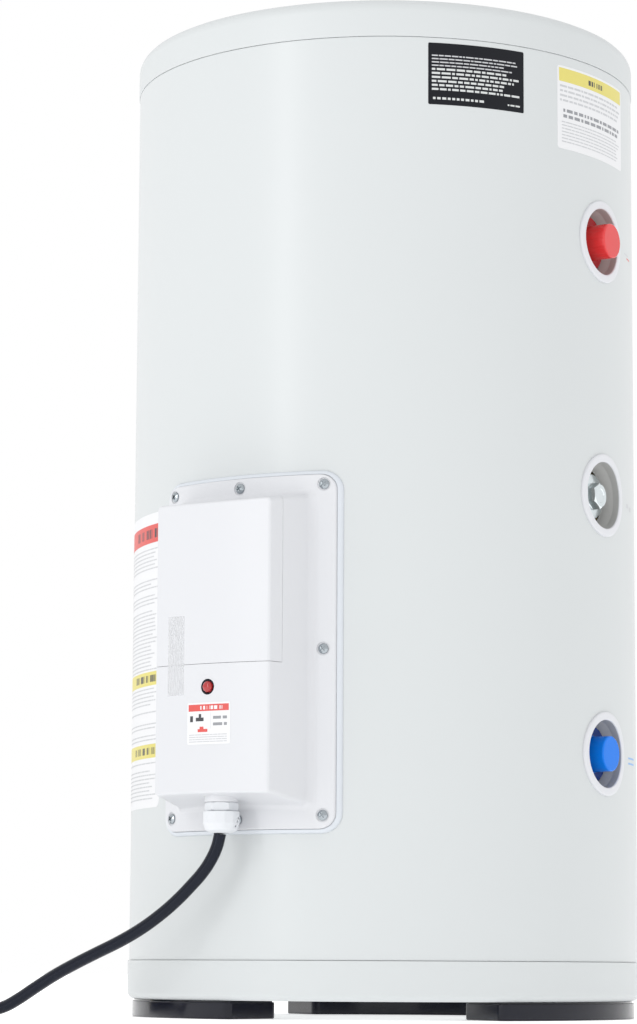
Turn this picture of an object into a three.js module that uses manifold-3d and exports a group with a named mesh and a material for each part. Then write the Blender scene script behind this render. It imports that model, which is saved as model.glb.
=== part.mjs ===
// A floor-standing electric tank water heater, built as separate pieces.
// Millimetres, +Z up. The origin is on the floor, under the middle of the heater's outline.
// The control box faces -Y and the three pipe ports face +X.
import * as THREE from 'three';
import { mergeVertices } from 'three/addons/utils/BufferGeometryUtils.js';
import Module from 'manifold-3d';

const wasm = await Module();
wasm.setup();

// ---------------------------------------------------------------- driving dimensions
const GAP = 0.3; // left between touching pieces

// Shell. Radii are measured from the tank's axis, heights from the floor.
const FOOT_HEIGHT = 15.5;
const PAN_HEIGHT = 33.5;
const JACKET_HEIGHT = 781;
const COVER_HEIGHT = 34.5;
const JACKET_RADIUS = 225;
const JACKET_WALL = 1;
const PAN_RADIUS = 226.2;
const PAN_EDGE = 6;
const COVER_RADIUS = 225.7;
const COVER_EDGE = 12;
const LIP_INNER = 222.2; // the pan's and the cover's lips stand inside the jacket
const LIP_DEPTH = 8;
const SHELL_FACETS = 48;

const PAN_BOTTOM = FOOT_HEIGHT;
const LOW_SEAM = PAN_BOTTOM + PAN_HEIGHT;
const HIGH_SEAM = LOW_SEAM + JACKET_HEIGHT;
const TOP = HIGH_SEAM + COVER_HEIGHT;

// Feet: three curved blocks under the pan's edge.
const FOOT_OUTER = 222;
const FOOT_INNER = 154;
const FOOT_SPAN = 58.5; // degrees
const FOOT_CORNER = 7;
const FEET = { foot_front: -32.7, foot_right: 87.3, foot_rear: 207.3 }; // azimuths, degrees

// Inner tank.
const TANK_RADIUS = 188;
const TANK_WALL = 2;
const HEAD_DEPTH = 80;
const TANK_LOW = 166; // where the straight wall starts and ends
const TANK_HIGH = 728;
const TANK_FACETS = 24;

// Ports, all facing +X.
const COLD_HEIGHT = LOW_SEAM + 177;
const ANODE_HEIGHT = LOW_SEAM + 401;
const HOT_HEIGHT = LOW_SEAM + 625.5;
const PORT_AZIMUTH = 90;
const PORT_HOLE = 29;
const TRIM_RADIUS = 36.2;
const TRIM_THICKNESS = 1.7;
const TRIM_COLLAR = 31;
const TRIM_FLOOR = 209; // radius from the tank's axis at which the trim's collar ends
const TRIM_NARROW = 25;
const SPUD_RADIUS = 18;
const SPUD_END = 206;
const SPUD_BORE = 13.6;
const NIPPLE_RADIUS = 13.3;
const NIPPLE_BORE = 10.5;
const CAP_RADIUS = 15.2;
const CAP_FLANGE = 24.3;
const CAP_WALL = 2.2;
const HOT_CAP_FACE = 235;
const COLD_CAP_FACE = 230.5;
const PLUG_SEAT = 211.5;
const PLUG_FACE = 222;
const PLUG_HEX = 20.3; // across flats
const ROD_RADIUS = 10.5;
const ROD_LENGTH = 300;

// Control box on the front. Half widths are measured from the middle of the front.
const BOX_LOW = LOW_SEAM + 127.8;
const BOX_HIGH = LOW_SEAM + 386;
const BOX_HALF = 65;
const BOX_FRONT_LOW = LOW_SEAM + 135.5;
const BOX_FRONT_HIGH = LOW_SEAM + 379;
const BOX_FRONT_HALF = 57;
const BOX_BASE_Y = -228;
const BOX_FRONT_Y = -271;
const BOX_FRONT_RADIUS = 275;
const BOX_WALL = 2.2;
const COVER_SEAM = LOW_SEAM + 243;
const COVER_DEPTH = 14;
const FLANGE_LOW = LOW_SEAM + 107.5;
const FLANGE_HIGH = LOW_SEAM + 403.5;
const FLANGE_HALF = 85.9;
const FLANGE_CORNER = 13;
const FLANGE_RADIUS = 230.3;
const GASKET_THICKNESS = 1.2;
const GASKET_MARGIN = 3.6; // how far the gasket stands out around the flange
const SCREW_AZIMUTH = 19.4;
const SCREW_LOW = LOW_SEAM + 118.7;
const SCREW_MIDDLE = LOW_SEAM + 256.7;
const SCREW_HIGH = LOW_SEAM + 395;
const SCREW_BOTTOM = LOW_SEAM + 116;

// Button, cord gland and what the box holds.
const BUTTON_HEIGHT = LOW_SEAM + 223.9;
const BUTTON_FACE = 277.7;
const BUTTON_RADIUS = 5.9;
const BUTTON_HOLE = 6.6;
const GLAND_Y = -253;
const GLAND_SEAT = 178.5;
const GLAND_HEX = 24; // across flats
const GLAND_HOLE = 10.2;
const GLAND_TOP = 192;
const NUT_RADIUS = 15.35;
const NUT_BOTTOM = LOW_SEAM + 104;
const ELEMENT_HEIGHT = LOW_SEAM + 177;
const ELEMENT_OPENING = 45;
const ELEMENT_FLANGE = 43;
const ELEMENT_BORE = 30;
const ELEMENT_PITCH = 36; // radius of the bolt circle
const ELEMENT_SEAT = 197;
const ELEMENT_LEG = 14; // half the distance between the element's legs
const DIAL_HEIGHT = 375;
const DIAL_RADIUS = 17;
const BLOCK_LOW = 306;
const BLOCK_HIGH = 336;

// Power cord, with the plug of a 120 V supply.
const CORD_RADIUS = 5.15;
const COIL_RADIUS = 57.5; // at the middle of the turns
const COIL_CENTRE = [-371, -207];
const COIL_LIFT = 1.2; // the tie's thickness is under the coil
const PLUG_WIDTH = 27;
const PLUG_THICKNESS = 22;
const PLUG_LENGTH = 32;

// The outline of the whole heater, without its cord, is centred on the origin.
const AXIS_X = -(HOT_CAP_FACE - PAN_RADIUS) / 2;
const AXIS_Y = (BUTTON_FACE - PAN_RADIUS) / 2;

// ---------------------------------------------------------------- finishes
const finish = (color, roughness, metalness = 0) => ({ color, roughness, metalness });
const FINISH = {
  enamel: finish(0xe9edeb, 0.32),
  shellPlastic: finish(0xe6eae8, 0.38),
  boxPlastic: finish(0xeff1f5, 0.34),
  trimPlastic: finish(0xeeeef0, 0.4),
  blackPlastic: finish(0x1b1d21, 0.28),
  redPlastic: finish(0xd42a26, 0.35),
  bluePlastic: finish(0x0f63c8, 0.35),
  redButton: finish(0x9c1512, 0.2),
  glandNylon: finish(0xf2f3f4, 0.4),
  zinc: finish(0xc9d3da, 0.3, 1),
  steel: finish(0x8e9296, 0.45, 1),
  tankEnamel: finish(0x3c4654, 0.5),
  brass: finish(0xc9a24a, 0.35, 1),
  magnesium: finish(0xa9adb0, 0.55, 1),
  copper: finish(0xb86b3f, 0.35, 1),
  foam: finish(0xe2c983, 0.9),
  rubber: finish(0x26282a, 0.7),
  cordRubber: finish(0x1e2023, 0.5),
  phenolic: finish(0x2b2522, 0.5),
  wireBlack: finish(0x151517, 0.5),
  wireWhite: finish(0xe8e8e6, 0.5),
  wireGreen: finish(0x2f8a3c, 0.5),
};

// ---------------------------------------------------------------- solids
// A manifold solid of a closed geometry, turned to face out.
function solid(geometry) {
  const bare = geometry.clone();
  bare.deleteAttribute('normal');
  bare.deleteAttribute('uv');
  const merged = mergeVertices(bare, 1e-4);
  const index = merged.index.array;
  const points = merged.attributes.position.array;
  const corner = (i) => new THREE.Vector3().fromArray(points, 3 * i);
  const triangles = [];
  let volume = 0;
  for (let i = 0; i < index.length; i += 3) {
    const [a, b, c] = [index[i], index[i + 1], index[i + 2]];
    if (a === b || b === c || c === a) continue;
    triangles.push([a, b, c]);
    volume += corner(a).dot(corner(b).cross(corner(c)));
  }
  const outward = volume < 0 ? triangles.map(([a, b, c]) => [a, c, b]) : triangles;
  const mesh = new wasm.Mesh({
    numProp: 3,
    vertProperties: new Float32Array(points),
    triVerts: new Uint32Array(outward.flat()),
  });
  return new wasm.Manifold(mesh);
}

// The geometry of a manifold solid.
function geometryOf(body) {
  const mesh = body.getMesh();
  const geometry = new THREE.BufferGeometry();
  geometry.setAttribute('position', new THREE.BufferAttribute(mesh.vertProperties, 3));
  geometry.setIndex(new THREE.BufferAttribute(mesh.triVerts, 1));
  geometry.computeVertexNormals();
  return geometry;
}

const cut = (body, ...tools) =>
  geometryOf(tools.reduce((rest, tool) => rest.subtract(solid(tool)), solid(body)));
const join = (body, ...others) =>
  geometryOf(others.reduce((whole, other) => whole.add(solid(other)), solid(body)));
const common = (body, other) => geometryOf(solid(body).intersect(solid(other)));

// ---------------------------------------------------------------- shapes
// A profile of [radius, height] corners turned about the Z axis.
function turned(profile, facets) {
  const points = profile.map(([radius, height]) => new THREE.Vector2(radius, height));
  return geometryOf(solid(new THREE.LatheGeometry(points, facets).rotateX(Math.PI / 2)));
}

// A ring of rectangular section about the Z axis.
function ring(inner, outer, low, high, facets) {
  return turned([[inner, low], [outer, low], [outer, high], [inner, high], [inner, low]], facets);
}

// A round bar along Z.
function rod(radius, low, high, sides = 16, x = 0, y = 0) {
  const bar = new THREE.CylinderGeometry(radius, radius, high - low, sides);
  return bar.rotateX(Math.PI / 2).translate(x, y, (low + high) / 2);
}

// A bar of hexagonal section along Z, with flats facing +Y and -Y.
function hexBar(acrossFlats, low, high) {
  return rod(acrossFlats / 2 / Math.cos(Math.PI / 6), low, high, 6).rotateZ(Math.PI / 6);
}

// A box given by its lowest and highest corners.
function block([x0, y0, z0], [x1, y1, z1]) {
  const box = new THREE.BoxGeometry(x1 - x0, y1 - y0, z1 - z0);
  return box.translate((x0 + x1) / 2, (y0 + y1) / 2, (z0 + z1) / 2);
}

// Points of a round or elliptic arc about [x, y], from one angle to another in degrees.
function arc(x, y, radiusX, radiusY, from, to, steps) {
  return Array.from({ length: steps + 1 }, (_, i) => {
    const angle = THREE.MathUtils.degToRad(from + ((to - from) * i) / steps);
    return [x + radiusX * Math.cos(angle), y + radiusY * Math.sin(angle)];
  });
}

// A rectangle with round corners in XY, pushed along Z from low to high.
function roundedBar(half, bottom, top, corner, low, high) {
  const outline = new THREE.Shape();
  outline.absarc(half - corner, top - corner, corner, 0, Math.PI / 2);
  outline.absarc(corner - half, top - corner, corner, Math.PI / 2, Math.PI);
  outline.absarc(corner - half, bottom + corner, corner, Math.PI, 1.5 * Math.PI);
  outline.absarc(half - corner, bottom + corner, corner, 1.5 * Math.PI, 2 * Math.PI);
  const options = { depth: high - low, bevelEnabled: false, curveSegments: 5 };
  return new THREE.ExtrudeGeometry(outline, options).translate(0, 0, low);
}

// A round tube or wire along a curve through the given points.
function tubeAlong(points, radius, steps, sides = 8) {
  const section = new THREE.Shape();
  section.absarc(0, 0, radius, 0, 2 * Math.PI);
  const path = new THREE.CatmullRomCurve3(points.map((p) => new THREE.Vector3(...p)));
  const options = { steps, extrudePath: path, curveSegments: sides / 2, bevelEnabled: false };
  return new THREE.ExtrudeGeometry(section, options);
}

// The frame of something that faces outward at an azimuth, measured from -Y towards +X:
// its x runs sideways, its y runs up from the given height, its z is the radius.
function outward(azimuth, height) {
  const frame = new THREE.Group();
  frame.rotation.set(Math.PI / 2, 0, THREE.MathUtils.degToRad(azimuth), 'ZYX');
  frame.position.z = height;
  frame.updateMatrix();
  return frame;
}

const facing = (geometry, azimuth, height) =>
  geometry.clone().applyMatrix4(outward(azimuth, height).matrix);

// ---------------------------------------------------------------- assembly
const heater = new THREE.Group();
const tank = new THREE.Group(); // everything is placed about the tank's axis
tank.position.set(AXIS_X, AXIS_Y, 0);
heater.add(tank);

function piece(parent, name, geometry, look) {
  const mesh = new THREE.Mesh(geometry, new THREE.MeshStandardMaterial(FINISH[look]));
  mesh.name = name;
  parent.add(mesh);
  return mesh;
}

function frameOf(azimuth, height) {
  const frame = outward(azimuth, height);
  tank.add(frame);
  return frame;
}

const PORTS = { cold: COLD_HEIGHT, anode: ANODE_HEIGHT, hot: HOT_HEIGHT };
const portFrames = Object.fromEntries(
  Object.entries(PORTS).map(([port, height]) => [port, frameOf(PORT_AZIMUTH, height)]),
);
const front = frameOf(0, 0);
const elementFrame = frameOf(0, ELEMENT_HEIGHT);

const SCREWS = {
  housing_screw_low_left: [-SCREW_AZIMUTH, SCREW_LOW],
  housing_screw_middle_left: [-SCREW_AZIMUTH, SCREW_MIDDLE],
  housing_screw_high_left: [-SCREW_AZIMUTH, SCREW_HIGH],
  housing_screw_low_right: [SCREW_AZIMUTH, SCREW_LOW],
  housing_screw_middle_right: [SCREW_AZIMUTH, SCREW_MIDDLE],
  housing_screw_high_right: [SCREW_AZIMUTH, SCREW_HIGH],
  housing_screw_top: [0, SCREW_HIGH],
  housing_screw_bottom: [0, SCREW_BOTTOM],
};
const SCREW_SHANK = 1.7;
const screwHoles = Object.values(SCREWS).map(([azimuth, height]) =>
  facing(rod(SCREW_SHANK + 2 * GAP, 220, 235, 6), azimuth, height),
);

// ---------------------------------------------------------------- shell
function jacket() {
  const low = LOW_SEAM + GAP;
  const high = HIGH_SEAM - GAP;
  const shell = ring(JACKET_RADIUS - JACKET_WALL, JACKET_RADIUS, low, high, SHELL_FACETS);
  const portHoles = Object.values(PORTS).map((height) =>
    facing(rod(TRIM_COLLAR + 0.8, 200, 240, 20), PORT_AZIMUTH, height),
  );
  const elementHole = facing(rod(ELEMENT_OPENING, 200, 240), 0, ELEMENT_HEIGHT);
  return cut(shell, elementHole, ...portHoles, ...screwHoles);
}

// The cover's and the pan's profiles share their lip, which stands inside the jacket.
const LIP_OUTER = JACKET_RADIUS - JACKET_WALL - GAP;

function topCover() {
  const wall = COVER_RADIUS - LIP_INNER;
  const centre = COVER_RADIUS - COVER_EDGE;
  const bend = TOP - COVER_EDGE;
  const profile = [
    [0, TOP],
    ...arc(centre, bend, COVER_EDGE, COVER_EDGE, 90, 0, 3),
    [COVER_RADIUS, HIGH_SEAM],
    [LIP_OUTER, HIGH_SEAM],
    [LIP_OUTER, HIGH_SEAM - LIP_DEPTH],
    [LIP_INNER, HIGH_SEAM - LIP_DEPTH],
    ...arc(centre, bend, COVER_EDGE - wall, COVER_EDGE - wall, 0, 90, 1),
    [0, TOP - wall],
  ];
  return turned(profile, SHELL_FACETS);
}

function basePan() {
  const wall = PAN_RADIUS - LIP_INNER;
  const centre = PAN_RADIUS - PAN_EDGE;
  const bend = PAN_BOTTOM + PAN_EDGE;
  const profile = [
    [0, PAN_BOTTOM],
    ...arc(centre, bend, PAN_EDGE, PAN_EDGE, -90, 0, 2),
    [PAN_RADIUS, LOW_SEAM],
    [LIP_OUTER, LOW_SEAM],
    [LIP_OUTER, LOW_SEAM + LIP_DEPTH],
    [LIP_INNER, LOW_SEAM + LIP_DEPTH],
    ...arc(centre, bend, PAN_EDGE - wall, PAN_EDGE - wall, 0, -90, 1),
    [0, PAN_BOTTOM + wall],
  ];
  return cut(turned(profile, SHELL_FACETS), ...Object.values(FEET).map(footBoltHole));
}

const FOOT_BOLT_SHANK = 2.3;
const FOOT_BOLT_RADIUS = 196;
const FOOT_BOLT_RECESS = 8;

function footBoltHole(azimuth) {
  const hole = rod(FOOT_BOLT_SHANK + GAP, -1, PAN_BOTTOM + 20, 8, 0, -FOOT_BOLT_RADIUS);
  return hole.rotateZ(THREE.MathUtils.degToRad(azimuth));
}

// One foot, facing -Y: an arc of the pan's edge with round corners and a recess for its bolt.
function foot() {
  const half = THREE.MathUtils.degToRad(FOOT_SPAN / 2);
  const start = -Math.PI / 2 - half;
  const end = -Math.PI / 2 + half;
  const at = (radius, angle) => [radius * Math.cos(angle), radius * Math.sin(angle)];
  const turn = (radius) => FOOT_CORNER / radius; // the angle that a corner takes up
  const outline = new THREE.Shape();
  outline.moveTo(...at(FOOT_OUTER, start + turn(FOOT_OUTER)));
  outline.absarc(0, 0, FOOT_OUTER, start + turn(FOOT_OUTER), end - turn(FOOT_OUTER));
  outline.quadraticCurveTo(...at(FOOT_OUTER, end), ...at(FOOT_OUTER - FOOT_CORNER, end));
  outline.lineTo(...at(FOOT_INNER + FOOT_CORNER, end));
  outline.quadraticCurveTo(...at(FOOT_INNER, end), ...at(FOOT_INNER, end - turn(FOOT_INNER)));
  outline.absarc(0, 0, FOOT_INNER, end - turn(FOOT_INNER), start + turn(FOOT_INNER), true);
  outline.quadraticCurveTo(...at(FOOT_INNER, start), ...at(FOOT_INNER + FOOT_CORNER, start));
  outline.lineTo(...at(FOOT_OUTER - FOOT_CORNER, start));
  outline.quadraticCurveTo(
    ...at(FOOT_OUTER, start),
    ...at(FOOT_OUTER, start + turn(FOOT_OUTER)),
  );
  const options = { depth: FOOT_HEIGHT - GAP, bevelEnabled: false, curveSegments: 5 };
  const blockOut = new THREE.ExtrudeGeometry(outline, options);
  const recess = rod(FOOT_BOLT_SHANK * 2 + 1, -1, FOOT_BOLT_RECESS, 12, 0, -FOOT_BOLT_RADIUS);
  return cut(blockOut, recess, footBoltHole(0));
}

function footBolt() {
  const head = FOOT_BOLT_RECESS - GAP;
  const profile = [
    [0, head - 3],
    [3.4, head - 2.8],
    [4.6, head - 1.2],
    [4.6, head],
    [FOOT_BOLT_SHANK, head],
    [FOOT_BOLT_SHANK, PAN_BOTTOM + 10],
    [0, PAN_BOTTOM + 12],
  ];
  return turned(profile, 10).translate(0, -FOOT_BOLT_RADIUS, 0);
}

piece(tank, 'jacket', jacket(), 'enamel');
piece(tank, 'top_cover', topCover(), 'shellPlastic');
piece(tank, 'base_pan', basePan(), 'shellPlastic');
for (const [name, azimuth] of Object.entries(FEET)) {
  const angle = THREE.MathUtils.degToRad(azimuth);
  piece(tank, name, foot(), 'blackPlastic').rotation.z = angle;
  piece(tank, name.replace('foot', 'foot_bolt'), footBolt(), 'zinc').rotation.z = angle;
}

// ---------------------------------------------------------------- tank and insulation
// A solid with a straight wall and two elliptic heads, a distance outside the tank's steel.
function tankOutline(offset) {
  const radius = TANK_RADIUS + offset;
  const depth = HEAD_DEPTH + offset;
  const profile = [
    [0, TANK_LOW - depth],
    ...arc(0, TANK_LOW, radius, depth, -60, 0, 2),
    ...arc(0, TANK_HIGH, radius, depth, 0, 60, 2),
    [0, TANK_HIGH + depth],
  ];
  return turned(profile, TANK_FACETS);
}

function innerTank() {
  const anodeSpud = facing(rod(SPUD_RADIUS, 180, SPUD_END + 2), PORT_AZIMUTH, ANODE_HEIGHT);
  const spuds = [COLD_HEIGHT, HOT_HEIGHT].map((height) =>
    facing(rod(SPUD_RADIUS, 180, SPUD_END), PORT_AZIMUTH, height),
  );
  const boss = facing(rod(ELEMENT_FLANGE, 170, ELEMENT_SEAT, 20), 0, ELEMENT_HEIGHT);
  const bores = Object.values(PORTS).map((height) =>
    facing(rod(SPUD_BORE, 150, 220), PORT_AZIMUTH, height),
  );
  const elementBore = facing(rod(ELEMENT_BORE, 120, 220, 20), 0, ELEMENT_HEIGHT);
  const boltHoles = elementBolts(4, 188, 200).map((hole) => facing(hole, 0, ELEMENT_HEIGHT));
  const shell = join(tankOutline(0), anodeSpud, ...spuds, boss);
  return cut(shell, tankOutline(-TANK_WALL), ...bores, elementBore, ...boltHoles);
}

// Four round bars on the element flange's bolt circle.
function elementBolts(radius, low, high) {
  return [45, 135, 225, 315].map((degrees) => {
    const angle = THREE.MathUtils.degToRad(degrees);
    const [x, y] = [ELEMENT_PITCH * Math.cos(angle), ELEMENT_PITCH * Math.sin(angle)];
    return rod(radius, low, high, 8, x, y);
  });
}

function insulation() {
  const radius = LIP_INNER - GAP;
  const panWall = PAN_RADIUS - LIP_INNER;
  const coverWall = COVER_RADIUS - LIP_INNER;
  const body = turned(
    [
      [0, PAN_BOTTOM + panWall + GAP],
      [radius - PAN_EDGE + panWall, PAN_BOTTOM + panWall + GAP],
      [radius, PAN_BOTTOM + PAN_EDGE + GAP],
      [radius, TOP - COVER_EDGE],
      [COVER_RADIUS - COVER_EDGE, TOP - coverWall - GAP],
      [0, TOP - coverWall - GAP],
    ],
    TANK_FACETS,
  );
  const portHoles = Object.values(PORTS).map((height) =>
    facing(rod(TRIM_COLLAR + 2, 170, 240), PORT_AZIMUTH, height),
  );
  const elementHole = facing(rod(ELEMENT_OPENING + 1, 150, 240), 0, ELEMENT_HEIGHT);
  const boltHoles = Object.values(FEET).map(footBoltHole);
  return cut(body, tankOutline(0.5), elementHole, ...portHoles, ...boltHoles);
}

piece(tank, 'inner_tank', innerTank(), 'tankEnamel');
piece(tank, 'insulation_foam', insulation(), 'foam');

// ---------------------------------------------------------------- ports
// A trim ring that follows the jacket, with a collar that narrows towards the tank.
function portTrim() {
  const top = JACKET_RADIUS + GAP + TRIM_THICKNESS;
  const skin = ring(JACKET_RADIUS + GAP, top, -50, 50, SHELL_FACETS);
  const lip = common(skin, facing(rod(TRIM_RADIUS, 200, 240, 20), PORT_AZIMUTH, 0));
  const collarProfile = [
    [PORT_HOLE, top],
    [TRIM_COLLAR, top],
    [TRIM_COLLAR, 218],
    [TRIM_NARROW + 2, TRIM_FLOOR],
    [TRIM_NARROW, TRIM_FLOOR],
    [PORT_HOLE, JACKET_RADIUS - 5],
    [PORT_HOLE, top],
  ];
  const collar = facing(turned(collarProfile, 20), PORT_AZIMUTH, 0);
  const inside = turned([[0, -50], [top, -50], [top, 50], [0, 50]], SHELL_FACETS);
  const hole = facing(rod(PORT_HOLE, JACKET_RADIUS - 5, 240, 20), PORT_AZIMUTH, 0);
  return cut(join(lip, common(collar, inside)), hole);
}

// A press-on cap: a tube with a closed end and a flange that fills the trim's floor.
function portCap(face) {
  const seat = TRIM_FLOOR + 1.3;
  const profile = [
    [0, face],
    [CAP_RADIUS - 1.2, face],
    [CAP_RADIUS, face - 1.4],
    [CAP_RADIUS, seat + 2],
    [CAP_FLANGE, seat + 2],
    [CAP_FLANGE, seat],
    [NIPPLE_RADIUS + 0.4, seat],
    [NIPPLE_RADIUS + 0.4, face - CAP_WALL],
    [0, face - CAP_WALL],
  ];
  return turned(profile, 20);
}

const NIPPLE_START = 186;
const NIPPLE_SHORT = CAP_WALL + GAP; // how far a nipple ends behind its cap's face

function nipple(capFace) {
  return ring(NIPPLE_BORE, NIPPLE_RADIUS, NIPPLE_START, capFace - NIPPLE_SHORT, 16);
}

// The hexagon plug that holds the anode, with a round flange under its head.
function anodePlug() {
  const head = hexBar(PLUG_HEX, PLUG_SEAT + 1, PLUG_FACE);
  const flange = rod(19.4, PLUG_SEAT, PLUG_SEAT + 2.5);
  const thread = rod(NIPPLE_RADIUS, 190, PLUG_SEAT + 1);
  return join(flange, head, thread);
}

for (const [port, height] of Object.entries(PORTS)) {
  piece(tank, `port_trim_${port}`, portTrim(), 'trimPlastic').position.z = height;
}
piece(portFrames.cold, 'nipple_cold', nipple(COLD_CAP_FACE), 'brass');
piece(portFrames.hot, 'nipple_hot', nipple(HOT_CAP_FACE), 'brass');
piece(portFrames.cold, 'cap_cold', portCap(COLD_CAP_FACE), 'bluePlastic');
piece(portFrames.hot, 'cap_hot', portCap(HOT_CAP_FACE), 'redPlastic');
piece(portFrames.anode, 'anode_plug', anodePlug(), 'zinc');
const anodeGasket = ring(SPUD_BORE, SPUD_RADIUS, SPUD_END + 2 + GAP, PLUG_SEAT - GAP, 16);
piece(portFrames.anode, 'anode_gasket', anodeGasket, 'rubber');
const anodeRod = rod(ROD_RADIUS, 190 - GAP - ROD_LENGTH, 190 - GAP, 16);
piece(portFrames.anode, 'anode_rod', anodeRod, 'magnesium');

// Pipes inside the tank, in the frame of their port: the hot one draws from the top,
// the cold one turns down to the bottom.
function waterPipe(points) {
  const pipe = tubeAlong(points, NIPPLE_BORE - GAP, 8, 8);
  const longer = [...points];
  longer[0] = [0, 0, points[0][2] + 2];
  const last = points.at(-1);
  const before = points.at(-2);
  longer[longer.length - 1] = last.map((value, i) => value + (value - before[i]) * 0.05);
  return cut(pipe, tubeAlong(longer, NIPPLE_BORE - GAP - 1.2, 8, 8));
}

const hotRoute = [[0, 0, 200], [0, 0, 170], [0, 6, 140], [0, 30, 118], [0, 64, 110], [0, 104, 108]];
const coldRoute = [[0, 0, 200], [0, 0, 172], [0, -5, 146], [0, -26, 124], [0, -52, 116]];
piece(portFrames.hot, 'hot_outlet_pipe', waterPipe(hotRoute), 'copper');
piece(portFrames.cold, 'cold_inlet_pipe', waterPipe(coldRoute), 'copper');

// ---------------------------------------------------------------- control box
// A block that narrows from the flange to the front, set in from the outer faces by `inset`.
function boxTaper(inset) {
  const shape = new THREE.BoxGeometry(2, 1, 2);
  const points = shape.attributes.position;
  const backY = -221;
  const frontY = -290;
  for (let i = 0; i < points.count; i += 1) {
    const y = points.getY(i) > 0 ? backY : frontY;
    const part = (y - BOX_BASE_Y) / (BOX_FRONT_Y - BOX_BASE_Y);
    const half = THREE.MathUtils.lerp(BOX_HALF, BOX_FRONT_HALF, part) - inset;
    const low = THREE.MathUtils.lerp(BOX_LOW, BOX_FRONT_LOW, part) + inset;
    const high = THREE.MathUtils.lerp(BOX_HIGH, BOX_FRONT_HIGH, part) - inset;
    points.setXYZ(i, points.getX(i) * half, y, points.getZ(i) > 0 ? high : low);
  }
  return shape;
}

// The outer or inner form of the box, with its front face curved about the tank's axis.
function boxForm(inset) {
  const radius = BOX_FRONT_RADIUS - inset;
  const drum = turned([[0, 100], [radius, 100], [radius, 500], [0, 500]], SHELL_FACETS);
  return common(boxTaper(inset), drum);
}

// A plate that follows the jacket, with round corners.
function curvedPlate(inner, outer, margin) {
  const corner = FLANGE_CORNER + margin;
  const outline = [FLANGE_HALF + margin, FLANGE_LOW - margin, FLANGE_HIGH + margin, corner];
  const prism = facing(roundedBar(...outline, 200, 240), 0, 0);
  return common(ring(inner, outer, 100, 500, SHELL_FACETS), prism);
}

const FLANGE_BACK = JACKET_RADIUS + GAP + GASKET_THICKNESS + GAP;
const COVER_EDGE_RADIUS = BOX_FRONT_RADIUS - COVER_DEPTH;

function housing() {
  const pad = rod(GLAND_HEX / 2 + 2, GLAND_SEAT, BOX_LOW + 10, 16, 0, GLAND_Y);
  const body = join(curvedPlate(FLANGE_BACK, FLANGE_RADIUS, 0), boxForm(0), pad);
  const behindFlange = rod(FLANGE_BACK, 100, 500, SHELL_FACETS).rotateZ(Math.PI / 2);
  const coverSpace = ring(COVER_EDGE_RADIUS, 300, COVER_SEAM, 500, SHELL_FACETS);
  const glandHole = rod(GLAND_HOLE, 160, 200, 20, 0, GLAND_Y);
  const buttonHole = facing(rod(BUTTON_HOLE, 265, 290), 0, BUTTON_HEIGHT);
  const tools = [boxForm(BOX_WALL), behindFlange, coverSpace, glandHole, buttonHole];
  return cut(body, ...tools, ...screwHoles);
}

function accessCover() {
  const shell = cut(boxForm(0), boxForm(BOX_WALL));
  return common(shell, ring(COVER_EDGE_RADIUS + GAP, 300, COVER_SEAM + GAP, 500, SHELL_FACETS));
}

function housingGasket() {
  const sheet = curvedPlate(JACKET_RADIUS + GAP, FLANGE_BACK - GAP, GASKET_MARGIN);
  const opening = block([-BOX_HALF - 2, -240, BOX_LOW - 2], [BOX_HALF + 2, -200, BOX_HIGH + 2]);
  return cut(sheet, opening, ...screwHoles);
}

// A pan-head screw with a cross recess, seated on the flange.
function housingScrew() {
  const seat = FLANGE_RADIUS + GAP;
  const profile = [
    [0, seat + 2.6],
    [3.4, seat + 2],
    [4.3, seat],
    [SCREW_SHANK, seat],
    [SCREW_SHANK, JACKET_RADIUS - 1.8],
    [0, JACKET_RADIUS - 2.6],
  ];
  const slot = block([-2.3, -0.45, seat + 1.3], [2.3, 0.45, seat + 4]);
  return cut(turned(profile, 8), slot, slot.clone().rotateZ(Math.PI / 2));
}

piece(tank, 'control_housing', housing(), 'boxPlastic');
piece(tank, 'access_cover', accessCover(), 'boxPlastic');
piece(tank, 'housing_gasket', housingGasket(), 'boxPlastic');
for (const [name, [azimuth, height]] of Object.entries(SCREWS)) {
  piece(frameOf(azimuth, height), name, housingScrew(), 'zinc');
}

// ---------------------------------------------------------------- cord gland
function glandBody() {
  const seat = GLAND_SEAT - GAP;
  const flange = hexBar(GLAND_HEX, seat - 7, seat);
  const thread = rod(GLAND_HOLE - 0.4, seat - 1, GLAND_TOP);
  const clamp = rod(10.4, 160, seat - 6);
  return cut(join(flange, thread, clamp), rod(CORD_RADIUS + 0.5, 150, 200, 12));
}

function glandNut() {
  const top = GLAND_SEAT - GAP - 7 - GAP;
  const profile = [
    [10.8, top],
    [NUT_RADIUS, top],
    [NUT_RADIUS, NUT_BOTTOM + 8],
    [NUT_RADIUS - 2.5, NUT_BOTTOM + 2.6],
    [NUT_RADIUS - 6, NUT_BOTTOM],
    [CORD_RADIUS + 1.8, NUT_BOTTOM],
    [CORD_RADIUS + 1.8, 159.7],
    [10.8, 159.7],
    [10.8, top],
  ];
  return turned(profile, 16);
}

piece(tank, 'gland_body', glandBody(), 'glandNylon').position.y = GLAND_Y;
piece(tank, 'gland_nut', glandNut(), 'glandNylon').position.y = GLAND_Y;

// ---------------------------------------------------------------- element and thermostat
function elementFlange() {
  const disc = rod(ELEMENT_FLANGE, ELEMENT_SEAT + 3.3, ELEMENT_SEAT + 9.3, 20);
  const legs = [1, -1].map((side) => rod(4.6, 190, 220, 8, 0, side * ELEMENT_LEG));
  const well = rod(5.6, 190, 220, 8, ELEMENT_LEG, 0);
  return cut(disc, ...elementBolts(4.2, 190, 220), ...legs, well);
}

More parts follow.
